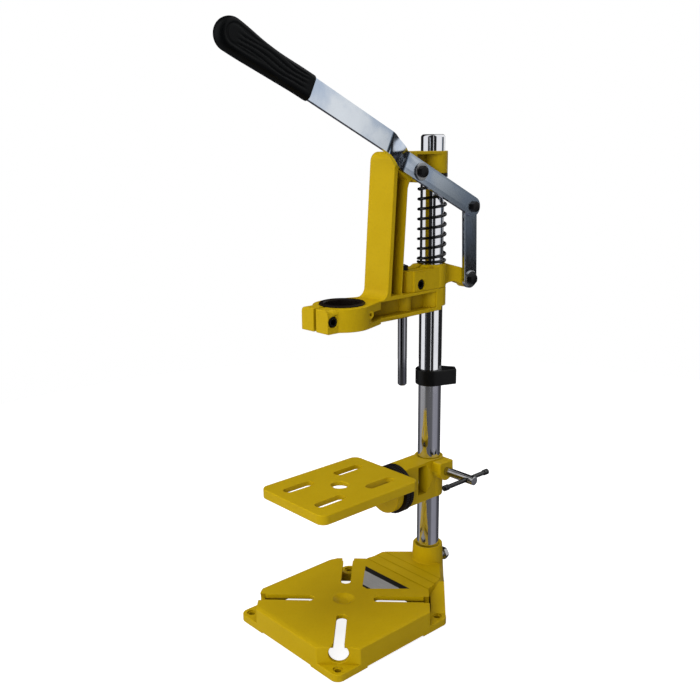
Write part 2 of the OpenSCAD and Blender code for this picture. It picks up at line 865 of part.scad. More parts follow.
// The beam leans: its front face's place at a given height
function front_y(z) = -beam_front - (carriage_top - z) * beam_lean_share;
function rear_y(z) = front_y(z) + beam_depth;

// The C-shaped frame from the side, as (y, z)
function frame_points() =
    let(foot = ring_top + beam_foot_r, corner = carriage_top - beam_corner_r)
    let(low_fillet = low_top + inner_low_r, high_fillet = spring_top - inner_r)
    concat(
        [[0, carriage_top]],
        arc([front_y(corner) + beam_corner_r, corner], beam_corner_r, 90, 180),
        arc([front_y(foot) - beam_foot_r, foot], beam_foot_r, 0, -90),
        [[ring_y, ring_top], [ring_y, low_z], [0, low_z], [0, low_top]],
        arc([rear_y(low_fillet) + inner_low_r, low_fillet], inner_low_r, 270, 180, 4),
        arc([rear_y(high_fillet) + inner_r, high_fillet], inner_r, 180, 90),
        [[0, spring_top]]);

// The hollows in the frame's sides: the beam's, the lower arm's and the top arm's
function beam_hollow() =
    let(bottom = low_top + over, top = spring_top + top_flange, slope = top + recess_end_drop)
    [[front_y(bottom) + front_flange, bottom], [front_y(slope) + front_flange, slope],
     [rear_y(top) - rear_flange, top - top_flange], [rear_y(bottom) - rear_flange, bottom]];

module frame_hollows() {
    polygon(beam_hollow());
    translate([ring_y, low_z + low_flange])
        square([ring_reach - carriage_boss_r / 2, low_arm_h - low_flange - top_flange]);
    translate([-pivot_y, spring_top + top_flange])
        square([pivot_y, top_arm_h - 2 * top_flange]);
}

// What stands in those hollows: the rod's boss, the column's boss and the pivot's boss
module frame_bosses() {
    translate([0, -rod_offset, low_z]) cylinder(r = rod_boss_r, h = low_arm_h);
    translate([0, 0, low_z + low_flange]) cylinder(r = carriage_boss_r, h = low_top - low_z
        - low_flange);
    translate([0, 0, spring_top + seat_h])
        cylinder(r = carriage_boss_r, h = carriage_top - spring_top - seat_h);
    x_bar(pivot_boss_r, 0, lever_in_x - slip_gap, -pivot_y, pivot_z);
}

module frame() {
    half = beam_w / 2;
    difference() {
        intersection() {
            side_extrude(-half, half) polygon(frame_points());
            translate([0, 0, low_z]) linear_extrude(carriage_top)
                polygon(both_sides([[half, ring_y], [half, -beam_front + beam_depth],
                                    [arm_half_at_boss, -carriage_boss_r], [arm_half_at_boss, 0]]));
        }
        for (side = [0, 1]) mirror([side, 0, 0])
            side_extrude(web_t / 2, half + over) frame_hollows();
        translate([0, 0, spring_top - over]) cylinder(r = seat_r + seat_gap, h = seat_h + over);
    }
}

// The clamp ring with its two ears
module clamp_ring() {
    translate([0, ring_y, ring_z]) {
        cylinder(r = ring_r, h = ring_h);
        rotate([90, 0, 0]) linear_extrude(ear_reach) {
            translate([-ear_half, 0]) square([2 * ear_half, ring_h - ear_round]);
            translate([ear_round - ear_half, 0]) square([2 * (ear_half - ear_round), ring_h]);
            for (side = [-1, 1])
                translate([side * (ear_half - ear_round), ring_h - ear_round]) circle(ear_round);
        }
    }
}

// Walls that run from the arm's sides to meet the ring without a corner
module ring_neck(bottom, top) {
    turn = atan2(neck_reach, beam_w / 2) - acos(ring_r / norm([beam_w / 2, neck_reach]));
    translate([0, ring_y, bottom]) linear_extrude(top - bottom)
        polygon(both_sides([[beam_w / 2, neck_reach], [ring_r * cos(turn), ring_r * sin(turn)]]));
}

module carriage() {
    screw_x = ear_half - m6_cap_h;
    color(yellow) difference() {
        union() {
            frame();
            frame_bosses();
            clamp_ring();
            ring_neck(ring_z, low_z + low_flange);
            ring_neck(ring_top - neck_band, ring_top);
            x_bar(side_boss_r, 0, side_boss_x, side_boss_y, side_boss_z);
        }
        column_bore(low_z, low_top);
        column_bore(spring_top, carriage_top);
        translate([0, -rod_offset, low_z - over]) cylinder(r = rod_bore_r, h = low_arm_h + 2 * over);
        translate([0, ring_y, ring_z - over]) cylinder(d = ring_bore_d, h = ring_h + 2 * over);
        box([-ring_slit_w / 2, ring_y - ear_reach - over, ring_z - over],
            [ring_slit_w / 2, ring_y, ring_top + over]);
        x_bar(m6_r + bolt_gap, -2 * ear_half, 2 * ear_half, ear_screw_y, ear_screw_z);
        x_bar(cap_hole_r, screw_x, 2 * ear_half, ear_screw_y, ear_screw_z);
        facing_right(-2 * ear_half, ear_screw_y, ear_screw_z)
            hex_prism(m6_af + 2 * seat_gap, ear_half + m6_nut);
        x_bar(m6_r + bolt_gap, -beam_w, beam_w, -pivot_y, pivot_z);
        x_bar(pivot_socket_r, -beam_w, -web_t / 2, -pivot_y, pivot_z);
        x_bar(side_hole_r, side_boss_x - side_hole_depth, side_boss_x + over, side_boss_y,
              side_boss_z);
    }
}

module spring_seat() {
    color(black) translate([0, 0, spring_top]) difference() {
        cylinder(r = seat_r, h = seat_h);
        column_bore(0, seat_h);
    }
}

module reducer_bush() {
    color(black) translate([0, ring_y, 0]) difference() {
        union() {
            translate([0, 0, ring_z]) cylinder(d = ring_bore_d - seat_gap, h = ring_h);
            translate([0, 0, ring_top])
                cylinder(d = ring_bore_d + 2 * reducer_rim, h = reducer_flange_t);
        }
        translate([0, 0, ring_z - over])
            cylinder(d = reducer_bore_d, h = ring_h + reducer_flange_t + 2 * over);
    }
}

module ring_clamp_screw() {
    head_x = ear_half - m6_cap_h;
    color(black) facing_right(head_x, ear_screw_y, ear_screw_z)
        cap_screw(head_x + ear_half - over);
}

module ring_clamp_nut() {
    color(bright) facing_right(-ear_half, ear_screw_y, ear_screw_z)
        nut(m6_af, m6_nut, m6_r + bolt_gap);
}

module lever_pivot_washer() {
    color(bright) facing_right(lever_out_x + slip_gap, -pivot_y, pivot_z)
        washer(m6_washer_r, m6_washer_t, m6_r + bolt_gap);
}

module lever_pivot_bolt() {
    head_x = lever_out_x + slip_gap + m6_washer_t;
    color(black) facing_right(head_x, -pivot_y, pivot_z)
        hex_bolt(m6_r, m6_af, m6_head, head_x + web_t / 2 + m6_nut + over);
}

module lever_pivot_nut() {
    color(bright) facing_right(-web_t / 2 - m6_nut, -pivot_y, pivot_z)
        nut(m6_af, m6_nut, m6_r + bolt_gap);
}

// Lever, drawn level with its grip along -Y and its pivot at the origin, then tilted

module lever_place() {
    translate([0, -pivot_y, pivot_z]) rotate([-lever_tilt, 0, 0]) children();
}

// The bent bar from above. The bend's inner corners sit back by this much
bend_shift = bar_t * tan(bend_angle / 2);
bend_to = bend_from + bend_len;
bar_end = grip_from + bar_tail;

module lever_bar() {
    step_x = lever_out_x + lever_step;
    color(bright) lever_place() difference() {
        intersection() {
            translate([0, 0, -bar_w / 2]) linear_extrude(bar_w) polygon([
                [lever_out_x, lever_arm + bar_w], [lever_out_x, -bend_from], [step_x, -bend_to],
                [step_x, -bar_end], [step_x - bar_t, -bar_end],
                [step_x - bar_t, -bend_to - bend_shift], [lever_in_x, -bend_from - bend_shift],
                [lever_in_x, lever_arm + bar_w]]);
            side_extrude(0, step_x + over) {
                translate([-bar_end - over, -bar_w / 2]) square([bar_end + lever_arm + over, bar_w]);
                translate([lever_arm, 0]) circle(bar_w / 2);
            }
        }
        x_bar(m6_r + run_gap, 0, step_x, 0, 0);
        x_bar(m6_r + bolt_gap, 0, step_x, lever_arm, 0);
    }
}

// One cross-section of the grip: four rounded corners of a block
module grip_section(y, w) {
    for (sx = [-1, 1], sz = [-1, 1])
        translate([sx * (grip_t / 2 - grip_round), y, sz * (w / 2 - grip_round)])
            sphere(grip_round, $fn = 24);
}

module lever_grip() {
    mid_x = lever_out_x + lever_step - bar_t / 2;
    color(black) lever_place() difference() {
        translate([mid_x, 0, 0]) hull() {
            grip_section(-grip_from - grip_round, grip_w * grip_end_share);
            grip_section(-grip_from - grip_len / 2, grip_w);
            grip_section(-grip_from - grip_len + 2 * grip_round, grip_w);
            translate([0, -grip_from - grip_len + grip_w / 2, 0]) rotate([0, 90, 0])
                cylinder(d = grip_w, h = grip_t - 2 * grip_round, center = true, $fn = 32);
        }
        box([mid_x - bar_t / 2 - seat_gap, -bar_end - seat_gap, -bar_w / 2 - seat_gap],
            [mid_x + bar_t / 2 + seat_gap, 0, bar_w / 2 + seat_gap]);
    }
}

module link_top_bolt() {
    color(black) facing_right(lever_out_x, joint_y, joint_z)
        hex_bolt(m6_r, m6_af, m6_head,
                 lever_out_x - link_in_x + slip_gap + m6_washer_t + m6_nut + over);
}

module link_top_washer() {
    color(bright) facing_right(link_in_x - slip_gap - m6_washer_t, joint_y, joint_z)
        washer(m6_washer_r, m6_washer_t, m6_r + bolt_gap);
}

module link_top_nut() {
    color(bright) facing_right(link_in_x - slip_gap - m6_washer_t - m6_nut, joint_y, joint_z)
        nut(m6_af, m6_nut, m6_r + bolt_gap);
}

// Link, drawn upright on its lower pivot, then tilted

module link_bar() {
    color(bright) translate([0, link_foot_y, foot_z]) rotate([-link_tilt, 0, 0]) difference() {
        side_extrude(link_in_x, link_out_x) {
            translate([-bar_w / 2, 0]) square([bar_w, link_len]);
            circle(bar_w / 2);
            translate([0, link_len]) circle(bar_w / 2);
        }
        x_bar(m6_r + run_gap, 0, beam_w, 0, 0);
        x_bar(link_eye_r, 0, beam_w, 0, link_len);
    }
}

// Spring: one tube that follows a path of rings. Its ends stand square to the faces it meets

stub_low = head_top + slip_gap;
stub_high = spring_top - slip_gap;
turn_low = stub_low + wire_d;
coil_low = turn_low + wire_d;
coil_high = stub_high - 2 * wire_d;
turn_angle = wire_d / spring_r * 180 / PI;
end_rise = wire_d + end_gap;
mid_rise = (coil_high - coil_low - 2 * end_rise) / (spring_turns - 2);

// Height of the coil after t turns: the first and the last turn are nearly closed
function coil_z(t) =
    coil_low + end_rise * min(t, 1) + mid_rise * max(0, min(t - 1, spring_turns - 2))
    + end_rise * max(0, t - spring_turns + 1);

function on_coil(angle, z) = [spring_r * cos(angle), spring_r * sin(angle), z];
function tangent(angle, climb) =
    [-sin(angle) * cos(climb), cos(angle) * cos(climb), sin(climb)];

// Each ring is its angle round the column, its centre and its direction
coil_steps = spring_turns * curl_rings;
low_rings = [for (climb = [90, 45])
    let(a = -turn_angle * sin(climb)) [a, on_coil(a, turn_low + wire_d * cos(climb)), tangent(a, climb)]];
coil_path = [for (i = [0:coil_steps])
    let(a = 360 * i / curl_rings) [a, on_coil(a, coil_z(i / curl_rings)), tangent(a, 0)]];
last_a = 360 * spring_turns;
high_rings = [for (climb = [45, 90])
    let(a = last_a + turn_angle * sin(climb))
    [a, on_coil(a, coil_high + wire_d - wire_d * cos(climb)), tangent(a, climb)]];
first_a = -turn_angle;
end_a = last_a + turn_angle;
spring_rings = concat(
    [[first_a, on_coil(first_a, stub_low), tangent(first_a, 90)]], low_rings, coil_path, high_rings,
    [[end_a, on_coil(end_a, stub_high), tangent(end_a, 90)]]);

function ring_points(ring) =
    let(outward = [cos(ring[0]), sin(ring[0]), 0], across = cross(ring[2], outward))
    [for (k = [0:wire_sides - 1])
        let(a = 360 * (k + 0.5) / wire_sides) ring[1] + wire_r * (cos(a) * outward + sin(a) * across)];

module feed_spring() {
    count = len(spring_rings);
    points = [for (ring = spring_rings) each ring_points(ring)];
    sides = [for (i = [0:count - 2], k = [0:wire_sides - 1])
        let(a = i * wire_sides, b = a + wire_sides, n = (k + 1) % wire_sides)
        each [[a + k, b + k, b + n], [a + k, b + n, a + n]]];
    last = (count - 1) * wire_sides;
    low_cap = [for (k = [1:wire_sides - 2]) [0, k, k + 1]];
    high_cap = [for (k = [1:wire_sides - 2]) [last, last + k + 1, last + k]];
    color(black) polyhedron(points = points, faces = concat(sides, low_cap, high_cap));
}

// The spring's least gap to itself, measured between ring centres half a turn or more apart
gaps = [for (i = [0:len(spring_rings) - 1], j = [i + 5:1:len(spring_rings) - 1])
    norm(spring_rings[i][1] - spring_rings[j][1]) - wire_d];
echo("least gap of the spring to itself", min(gaps));

base_plate();
column();
column_bolt();
label_plate();
table_bracket();
scale_disc();
table_plate();
table_pivot_bolt();
table_pivot_washer();
table_pivot_nut();
table_clamp_screw();
tommy_bar();
stop_collar();
stop_screw();
head_collar();
head_clamp_screw();
head_clamp_nut();
guide_rod();
guide_rod_nut();
link_low_bolt();
link_low_washer();
link_low_nut();
carriage();
spring_seat();
reducer_bush();
ring_clamp_screw();
ring_clamp_nut();
lever_pivot_bolt();
lever_pivot_washer();
lever_pivot_nut();
lever_bar();
lever_grip();
link_top_bolt();
link_top_washer();
link_top_nut();
link_bar();
feed_spring();
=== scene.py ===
"""Visual model of a bench drill stand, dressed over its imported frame."""
from __future__ import annotations

import logging
import math
from dataclasses import dataclass
from enum import Enum
from typing import Sequence

import bmesh
import bpy
from mathutils import Matrix, Vector
from mathutils.bvhtree import BVHTree


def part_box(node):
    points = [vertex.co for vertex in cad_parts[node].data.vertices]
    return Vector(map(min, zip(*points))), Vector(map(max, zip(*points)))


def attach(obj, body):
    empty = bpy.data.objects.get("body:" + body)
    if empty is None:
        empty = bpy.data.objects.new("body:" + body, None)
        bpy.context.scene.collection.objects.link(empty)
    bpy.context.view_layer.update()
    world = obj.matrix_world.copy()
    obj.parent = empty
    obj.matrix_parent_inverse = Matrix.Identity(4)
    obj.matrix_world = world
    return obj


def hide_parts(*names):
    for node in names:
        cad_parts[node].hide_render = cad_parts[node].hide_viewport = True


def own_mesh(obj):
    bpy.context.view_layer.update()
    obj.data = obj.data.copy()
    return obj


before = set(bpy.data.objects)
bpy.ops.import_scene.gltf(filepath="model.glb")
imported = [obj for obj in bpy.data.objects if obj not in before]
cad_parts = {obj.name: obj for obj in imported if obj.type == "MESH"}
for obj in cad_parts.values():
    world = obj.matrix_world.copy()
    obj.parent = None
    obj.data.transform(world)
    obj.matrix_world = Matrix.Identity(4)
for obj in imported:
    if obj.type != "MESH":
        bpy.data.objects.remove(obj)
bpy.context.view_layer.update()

LOG = logging.getLogger("drill_stand")
MM = 0.001
WELD = 2e-6
TINY = 1e-7
FLAT = math.radians(0.6)

Color = tuple[float, float, float]
Point = tuple[float, float, float]
Pair = tuple[float, float]
Outline = Sequence[Pair]
Socket = bpy.types.NodeSocket
Piece = bpy.types.Object
BMesh = bmesh.types.BMesh
Edge = bmesh.types.BMEdge
Vert = bmesh.types.BMVert


class Body(Enum):
    """The rigid bodies of the frame."""

    BASE = "base"
    BRACKET = "bracket"
    TABLE = "table"
    CLAMP_SCREW = "clamp_screw"
    TOMMY = "tommy"
    STOP = "stop"
    HEAD = "head"
    SLIDER = "slider"
    LEVER = "lever"
    LINK = "link"


class Slot(Enum):
    """The material slots."""

    PAINTED = "painted"
    CHROME = "chrome"
    ZINC = "zinc"
    FOIL = "foil"
    BLACK_PLASTIC = "black_plastic"
    BLACK_STEEL = "black_steel"
    GRIP = "grip"


class Axis(Enum):
    """The frame's axes."""

    X = (1.0, 0.0, 0.0)
    Y = (0.0, 1.0, 0.0)
    Z = (0.0, 0.0, 1.0)


class Tree:
    """A material's or world's node tree with short calls to fill it."""

    def __init__(self, tree: bpy.types.NodeTree) -> None:
        """Empties the node tree that it then fills."""
        self.tree = tree
        tree.nodes.clear()

    def add(self, kind: str, inputs: dict | None = None, **settings: object) -> bpy.types.Node:
        """Adds one node.

        Args:
            kind: the node's type name without its Shader prefix.
            inputs: socket name or number to a value, or to an output socket to link.
            settings: properties of the node.

        Returns:
            The new node.
        """
        node = self.tree.nodes.new("ShaderNode" + kind)
        for name, value in settings.items():
            setattr(node, name, value)
        for name, value in (inputs or {}).items():
            if isinstance(value, Socket):
                self.tree.links.new(value, node.inputs[name])
            else:
                node.inputs[name].default_value = value
        return node

    def math(self, operation: str, first: object, second: object) -> Socket:
        """One sum or comparison of two values or sockets; returns its result."""
        return self.add("Math", {0: first, 1: second}, operation=operation).outputs[0]

    def place(self, scale: Point = (1.0, 1.0, 1.0), turn: Point = (0.0, 0.0, 0.0)) -> Socket:
        """Object coordinates, turned by angles in radians and then scaled per axis."""
        rotated = self.add("Mapping", {"Vector": self.add("TexCoord").outputs["Object"], "Rotation": turn})
        return self.add("Mapping", {"Vector": rotated.outputs[0], "Scale": scale}).outputs[0]

    def around(self, vector: Socket) -> Socket:
        """A direction's compass share: 0 and 1 at -X, 0.25 at -Y, 0.5 at +X, 0.75 at +Y."""
        parts = self.add("SeparateXYZ", {0: vector}).outputs
        return self.map(self.math("ARCTAN2", parts[1], parts[0]), 0.0, 1.0, -math.pi, math.pi)

    def noise(self, vector: Socket, scale: float, detail: float = 3.0) -> Socket:
        """A noise value between 0 and 1, with scale features per metre and detail octaves."""
        node = self.add("TexNoise", {"Vector": vector, "Scale": scale, "Detail": detail})
        return node.outputs["Fac"]

    def ramp(self, value: Socket, stops: Sequence[tuple[float, Color]]) -> Socket:
        """A colour ramp.

        Args:
            value: what it reads.
            stops: place and colour of each stop.

        Returns:
            The colour socket.
        """
        node = self.add("ValToRGB", {"Fac": value})
        stones = node.color_ramp.elements
        while len(stones) < len(stops):
            stones.new(0.5)
        for stone, (place, color) in zip(stones, stops):
            stone.position = place
            stone.color = (*color, 1.0)
        return node.outputs[0]

    def map(self, value: Socket, low: float, high: float, start: float = 0.3, end: float = 0.7) -> Socket:
        """Maps a value from start..end to low..high."""
        sockets = {"Value": value, "From Min": start, "From Max": end, "To Min": low, "To Max": high}
        return self.add("MapRange", sockets).outputs[0]

    def mix(self, share: Socket | float, first: Socket | Color, second: Socket | Color,
            blend: str = "MIX") -> Socket:
        """Mixes two colours or sockets, with the second's share."""
        first, second = (value if isinstance(value, Socket) else (*value, 1.0) for value in (first, second))
        return self.add("Mix", {0: share, 6: first, 7: second}, data_type="RGBA", blend_type=blend).outputs[2]

    def bump(self, height: Socket, distance: float, strength: float, **under: Socket) -> Socket:
        """The normal of a height that reaches a distance in metres, over the Normal in under."""
        sockets = {"Height": height, "Distance": distance, "Strength": strength, **under}
        return self.add("Bump", sockets).outputs[0]

    def finish(self, **sockets: object) -> None:
        """Adds the shader, whose inputs are named with underscores for spaces, and the output."""
        inputs = {name.replace("_", " "): value for name, value in sockets.items()}
        self.add("OutputMaterial", {"Surface": self.add("BsdfPrincipled", inputs).outputs[0]})


def new_material(name: str) -> tuple[bpy.types.Material, Tree]:
    """A new material with an empty node tree.

    Args:
        name: the material's name.

    Returns:
        The material and its tree.
    """
    material = bpy.data.materials.new(name)
    material.use_nodes = True
    return material, Tree(material.node_tree)


@dataclass(frozen=True)
class Finish:
    """A material with the slot that it belongs to."""

    material: bpy.types.Material
    slot: Slot


@dataclass(frozen=True)
class CastPaint:
    """Glossy paint over a sand-cast surface, with painted shade that darkens it in hollows and pockets."""

    name: str = "cast_paint"
    color: Color = (0.57, 0.385, 0.003)
    shade: Color = (0.53, 0.352, 0.002)
    roughness: float = 0.42
    gloss: float = 0.14
    broad_scale: float = 22.0
    lump_scale: float = 420.0
    lump_depth: float = 0.00012
    peel_scale: float = 900.0
    peel_depth: float = 0.00005
    speck_tone: float = 0.93
    speck_range: Pair = (0.52, 0.75)
    # painted shade in hollows: ambient occlusion reach, its mapping range, its strength and the dark brown it
    # darkens toward
    pocket: float = 0.028
    pocket_shade_range: Pair = (0.25, 0.8)
    pocket_shade_strength: float = 0.5
    pocket_shade_color: Color = (0.16, 0.085, 0.001)

    def build(self) -> Finish:
        """Builds it.

        Returns:
            The finished paint.
        """
        material, tree = new_material(self.name)
        vector = tree.place()
        broad = tree.noise(vector, self.broad_scale, 2.0)
        fine = tree.noise(vector, self.lump_scale)
        peel = tree.noise(vector, self.peel_scale, 2.0)
        base = tree.mix(tree.map(broad, 0.0, 1.0), self.color, self.shade)
        tone = tree.map(fine, 1.0, self.speck_tone, *self.speck_range)
        specks = tree.add("CombineColor", {0: tone, 1: tone, 2: tone}).outputs[0]
        color = tree.mix(1.0, base, specks, "MULTIPLY")
        # painted shade: ambient occlusion darkens hollows and pockets toward a dark brown, standing in for
        # the shade that falls there
        free = tree.add("AmbientOcclusion", {"Distance": self.pocket}, only_local=True, samples=8)
        painted_shade = tree.map(free.outputs["AO"], self.pocket_shade_strength, 0.0, *self.pocket_shade_range)
        color = tree.mix(painted_shade, color, self.pocket_shade_color)
        lumps = tree.bump(fine, self.lump_depth, 0.35)
        normal = tree.bump(peel, self.peel_depth, 0.3, Normal=lumps)
        rough = tree.map(broad, self.roughness - 0.05, self.roughness + 0.07)
        tree.finish(Base_Color=color, Roughness=rough, Normal=normal, Specular_IOR_Level=self.gloss)
        return Finish(material, Slot.PAINTED)


@dataclass(frozen=True)
class TurnedMetal:
    """A metal with fine turning or brushing lines along one axis."""

    name: str
    slot: Slot
    color: Color
    stain: Color
    roughness: float
    spread: float = 0.05
    lines: Point = (40.0, 40.0, 2600.0)
    turn: Point = (0.0, 0.0, 0.0)
    line_depth: float = 0.000004
    patch_scale: float = 30.0
    stain_range: Pair = (0.42, 0.66)

    def build(self) -> Finish:
        """Builds it.

        Returns:
            The finished metal.
        """
        material, tree = new_material(self.name)
        lines = tree.noise(tree.place(self.lines, self.turn), 1.0, 2.0)
        patches = tree.noise(tree.place(), self.patch_scale)
        color = tree.mix(tree.map(patches, 0.0, 1.0, *self.stain_range), self.color, self.stain)
        rough = tree.map(patches, self.roughness - self.spread, self.roughness + self.spread)
        normal = tree.bump(lines, self.line_depth, 0.6)
        tree.finish(Base_Color=color, Metallic=1.0, Roughness=rough, Normal=normal)
        return Finish(material, self.slot)


@dataclass(frozen=True)
class DarkFinish:
    """Black plastic, rubber, oxide or paint with a grain."""

    name: str
    slot: Slot
    color: Color
    worn: Color
    roughness: float
    gloss: float
    grain: float = 700.0
    grain_depth: float = 0.00004
    patch_scale: float = 60.0
    worn_range: Pair = (0.45, 0.7)

    def build(self) -> Finish:
        """Builds it.

        Returns:
            The finished surface.
        """
        material, tree = new_material(self.name)
        vector = tree.place()
        grain = tree.noise(vector, self.grain, 2.0)
        patches = tree.noise(vector, self.patch_scale)
        color = tree.mix(tree.map(patches, 0.0, 1.0, *self.worn_range), self.color, self.worn)
        rough = tree.map(patches, self.roughness - 0.04, self.roughness + 0.08)
        normal = tree.bump(grain, self.grain_depth, 0.5)
        tree.finish(Base_Color=color, Roughness=rough, Normal=normal, Specular_IOR_Level=self.gloss)
        return Finish(material, self.slot)


@dataclass(frozen=True)
class FoilLabel:
    """A bare foil label with a black band along its long edge and a black tip."""

    name: str = "foil_label"
    band_y: float = -0.0722
    tip_y: float = -0.0953
    hair_scale: Point = (60.0, 3000.0, 1.0)
    hair_depth: float = 0.00001
    silver: Color = (0.46, 0.46, 0.45)
    grey: Color = (0.33, 0.33, 0.33)
    ink: Color = (0.012, 0.011, 0.01)
    metallic: float = 0.08

    def build(self) -> Finish:
        """Builds it.

        Returns:
            The finished foil.
        """
        material, tree = new_material(self.name)
        y = tree.add("SeparateXYZ", {0: tree.place()}).outputs[1]
        band = tree.math("GREATER_THAN", y, self.band_y)
        tip = tree.math("LESS_THAN", y, self.tip_y)
        printed = tree.math("MAXIMUM", band, tip)
        hairs = tree.noise(tree.place(self.hair_scale), 1.0, 2.0)
        foil = tree.mix(tree.map(hairs, 0.0, 1.0), self.silver, self.grey)
        tree.finish(Base_Color=tree.mix(printed, foil, self.ink), Roughness=tree.map(hairs, 0.34, 0.44),
                    Metallic=tree.map(printed, self.metallic, 0.0, 0.0, 1.0),
                    Normal=tree.bump(hairs, self.hair_depth, 0.4))
        return Finish(material, Slot.FOIL)


class Finishes:
    """Every finish of the stand, built once."""

    def __init__(self) -> None:
        """Builds the materials."""
        self.paint = CastPaint().build()
        self.chrome = TurnedMetal("chrome_tube", Slot.CHROME, (0.80, 0.80, 0.82), (0.74, 0.74, 0.77),
                                  0.09, 0.03, line_depth=0.000002).build()
        self.rod = TurnedMetal("ground_rod", Slot.CHROME, (0.24, 0.24, 0.26), (0.19, 0.19, 0.21),
                               0.08, 0.02).build()
        self.bar = TurnedMetal("zinc_bar", Slot.ZINC, (0.70, 0.74, 0.78), (0.48, 0.56, 0.68), 0.15, 0.04,
                               lines=(900.0, 60.0, 1400.0), turn=(0.44, 0.0, 0.0),
                               line_depth=0.000001).build()
        self.screw = TurnedMetal("zinc_screw", Slot.ZINC, (0.50, 0.50, 0.50), (0.33, 0.32, 0.31),
                                 0.22, 0.06).build()
        self.dark_steel = TurnedMetal("dark_steel", Slot.ZINC, (0.07, 0.07, 0.07), (0.04, 0.04, 0.04),
                                      0.2).build()
        self.black_steel = DarkFinish("black_oxide", Slot.BLACK_STEEL, (0.003, 0.003, 0.0035),
                                      (0.008, 0.008, 0.009), 0.34, 0.14).build()
        self.spring = DarkFinish("black_spring", Slot.BLACK_STEEL, (0.0015, 0.0015, 0.0016),
                                 (0.003, 0.003, 0.003), 0.16, 0.4).build()
        self.plastic = DarkFinish("black_plastic", Slot.BLACK_PLASTIC, (0.006, 0.0035, 0.003),
                                  (0.011, 0.007, 0.006), 0.40, 0.16).build()
        self.collar = DarkFinish("black_collar", Slot.BLACK_STEEL, (0.002, 0.002, 0.002),
                                 (0.005, 0.005, 0.005), 0.36, 0.2).build()
        self.rubber = DarkFinish("grip_rubber", Slot.GRIP, (0.0012, 0.0015, 0.0017), (0.0025, 0.003, 0.0034),
                                 0.42, 0.11, grain=1500.0, grain_depth=0.00003).build()
        self.foil = FoilLabel().build()


def mesh_object(name: str, bm: BMesh, material: bpy.types.Material, smooth_angle: float = 32.0,
                fix_normals: bool = True) -> Piece:
    """Makes a bmesh an object at the origin, smooth except over its sharp edges.

    Args:
        name: the object's name.
        bm: the mesh, which is freed.
        material: its material.
        smooth_angle: edges sharper than this many degrees stay sharp.
        fix_normals: whether all faces are turned outwards.

    Returns:
        The object.
    """
    if fix_normals:
        bmesh.ops.recalc_face_normals(bm, faces=bm.faces)
    mesh = bpy.data.meshes.new(name)
    bm.to_mesh(mesh)
    bm.free()
    mesh.polygons.foreach_set("use_smooth", [True] * len(mesh.polygons))
    mesh.set_sharp_from_angle(angle=math.radians(smooth_angle))
    mesh.materials.append(material)
    piece = bpy.data.objects.new(name, mesh)
    bpy.context.scene.collection.objects.link(piece)
    return piece


def dress(name: str, bm: BMesh, finish: Finish, body: Body, node: str, **look: float) -> Piece:
    """Makes a mesh a finished piece that stands for a CAD node on its body.

    Args:
        name: the piece's name.
        bm: the mesh, which is freed.
        finish: its finish.
        body: what it rides on.
        node: the CAD node that it replaces.
        look: smooth_angle and fix_normals, as mesh_object takes them.

    Returns:
        The piece.
    """
    piece = mesh_object(name, bm, finish.material, **look)
    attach(piece, body.value)
    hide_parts(node)
    LOG.info("%s rides on %s, %d faces", name, body.value, len(piece.data.polygons))
    return piece


def copied(node: str) -> BMesh:
    """A merged copy of a CAD node's mesh with its flat faces joined.

    Args:
        node: the CAD node.

    Returns:
        The new mesh.
    """
    bm = bmesh.new()
    bm.from_mesh(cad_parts[node].data)
    bmesh.ops.remove_doubles(bm, verts=bm.verts, dist=WELD)
    bmesh.ops.dissolve_degenerate(bm, edges=bm.edges, dist=WELD)
    bmesh.ops.dissolve_limit(bm, angle_limit=FLAT, verts=bm.verts, edges=bm.edges)
    return bm


def soften(piece: Piece, radius: float, segments: int = 3, sharp: float = 34.0) -> bpy.types.BevelModifier:
    """Rounds a piece's edges.

    Args:
        piece: the piece.
        radius: how far the rounding reaches, in metres.
        segments: faces across the rounding.
        sharp: only edges sharper than this many degrees are rounded.

    Returns:
        The modifier, for any other setting.
    """
    bevel = piece.modifiers.new("edges", "BEVEL")
    bevel.width = radius
    bevel.segments = segments
    bevel.limit_method = "ANGLE"
    bevel.angle_limit = math.radians(sharp)
    bevel.use_clamp_overlap = False
    bevel.miter_outer = "MITER_ARC"
    return bevel


def turned(profile: Outline, steps: int = 48) -> BMesh:
    """Spins a profile of (radius, height) points round Z.

    Args:
        profile: the outline; where it starts or ends on the axis it is closed there.
        steps: faces round the axis.

    Returns:
        The mesh.
    """
    bm = bmesh.new()
    verts = [bm.verts.new((radius, 0.0, height)) for radius, height in profile]
    edges = [bm.edges.new(pair) for pair in zip(verts, verts[1:])]
    bmesh.ops.spin(bm, geom=verts + edges, cent=(0, 0, 0), axis=(0, 0, 1), angle=math.tau, steps=steps,
                   use_merge=True)
    bmesh.ops.remove_doubles(bm, verts=bm.verts, dist=TINY)
    return bm


def closed_ring(profile: Outline, steps: int = 48) -> BMesh:
    """Spins a closed outline's corners, such as a washer's, round Z."""
    return turned([*profile, profile[0]], steps)


def hex_corner(across: float) -> float:
    """The distance from a hexagon's middle to its corners, from its width across the flats."""
    return across / math.cos(math.pi / 6) / 2


def cut_flats(bm: BMesh, across: float, count: int = 6) -> None:
    """Cuts flats on a turned blank, as on a hex head.

    Args:
        bm: the blank round Z.
        across: width across the flats.
        count: number of flats.
    """
    for number in range(count):
        angle = math.tau * (number + 0.5) / count
        normal = Vector((math.cos(angle), math.sin(angle), 0))
        cut = bmesh.ops.bisect_plane(bm, geom=[*bm.verts, *bm.edges, *bm.faces], plane_co=normal * across / 2,
                                     plane_no=normal, clear_outer=True, dist=TINY)
        rim = [e for e in cut["geom_cut"] if isinstance(e, Edge) and e.is_boundary]
        bmesh.ops.holes_fill(bm, edges=rim, sides=0)


def open_edges(bm: BMesh, verts: Sequence[Vert]) -> list[Edge]:
    """The boundary edges of a mesh that join two of some vertices."""
    chosen = set(verts)
    return [e for e in bm.edges if e.is_boundary and all(v in chosen for v in e.verts)]


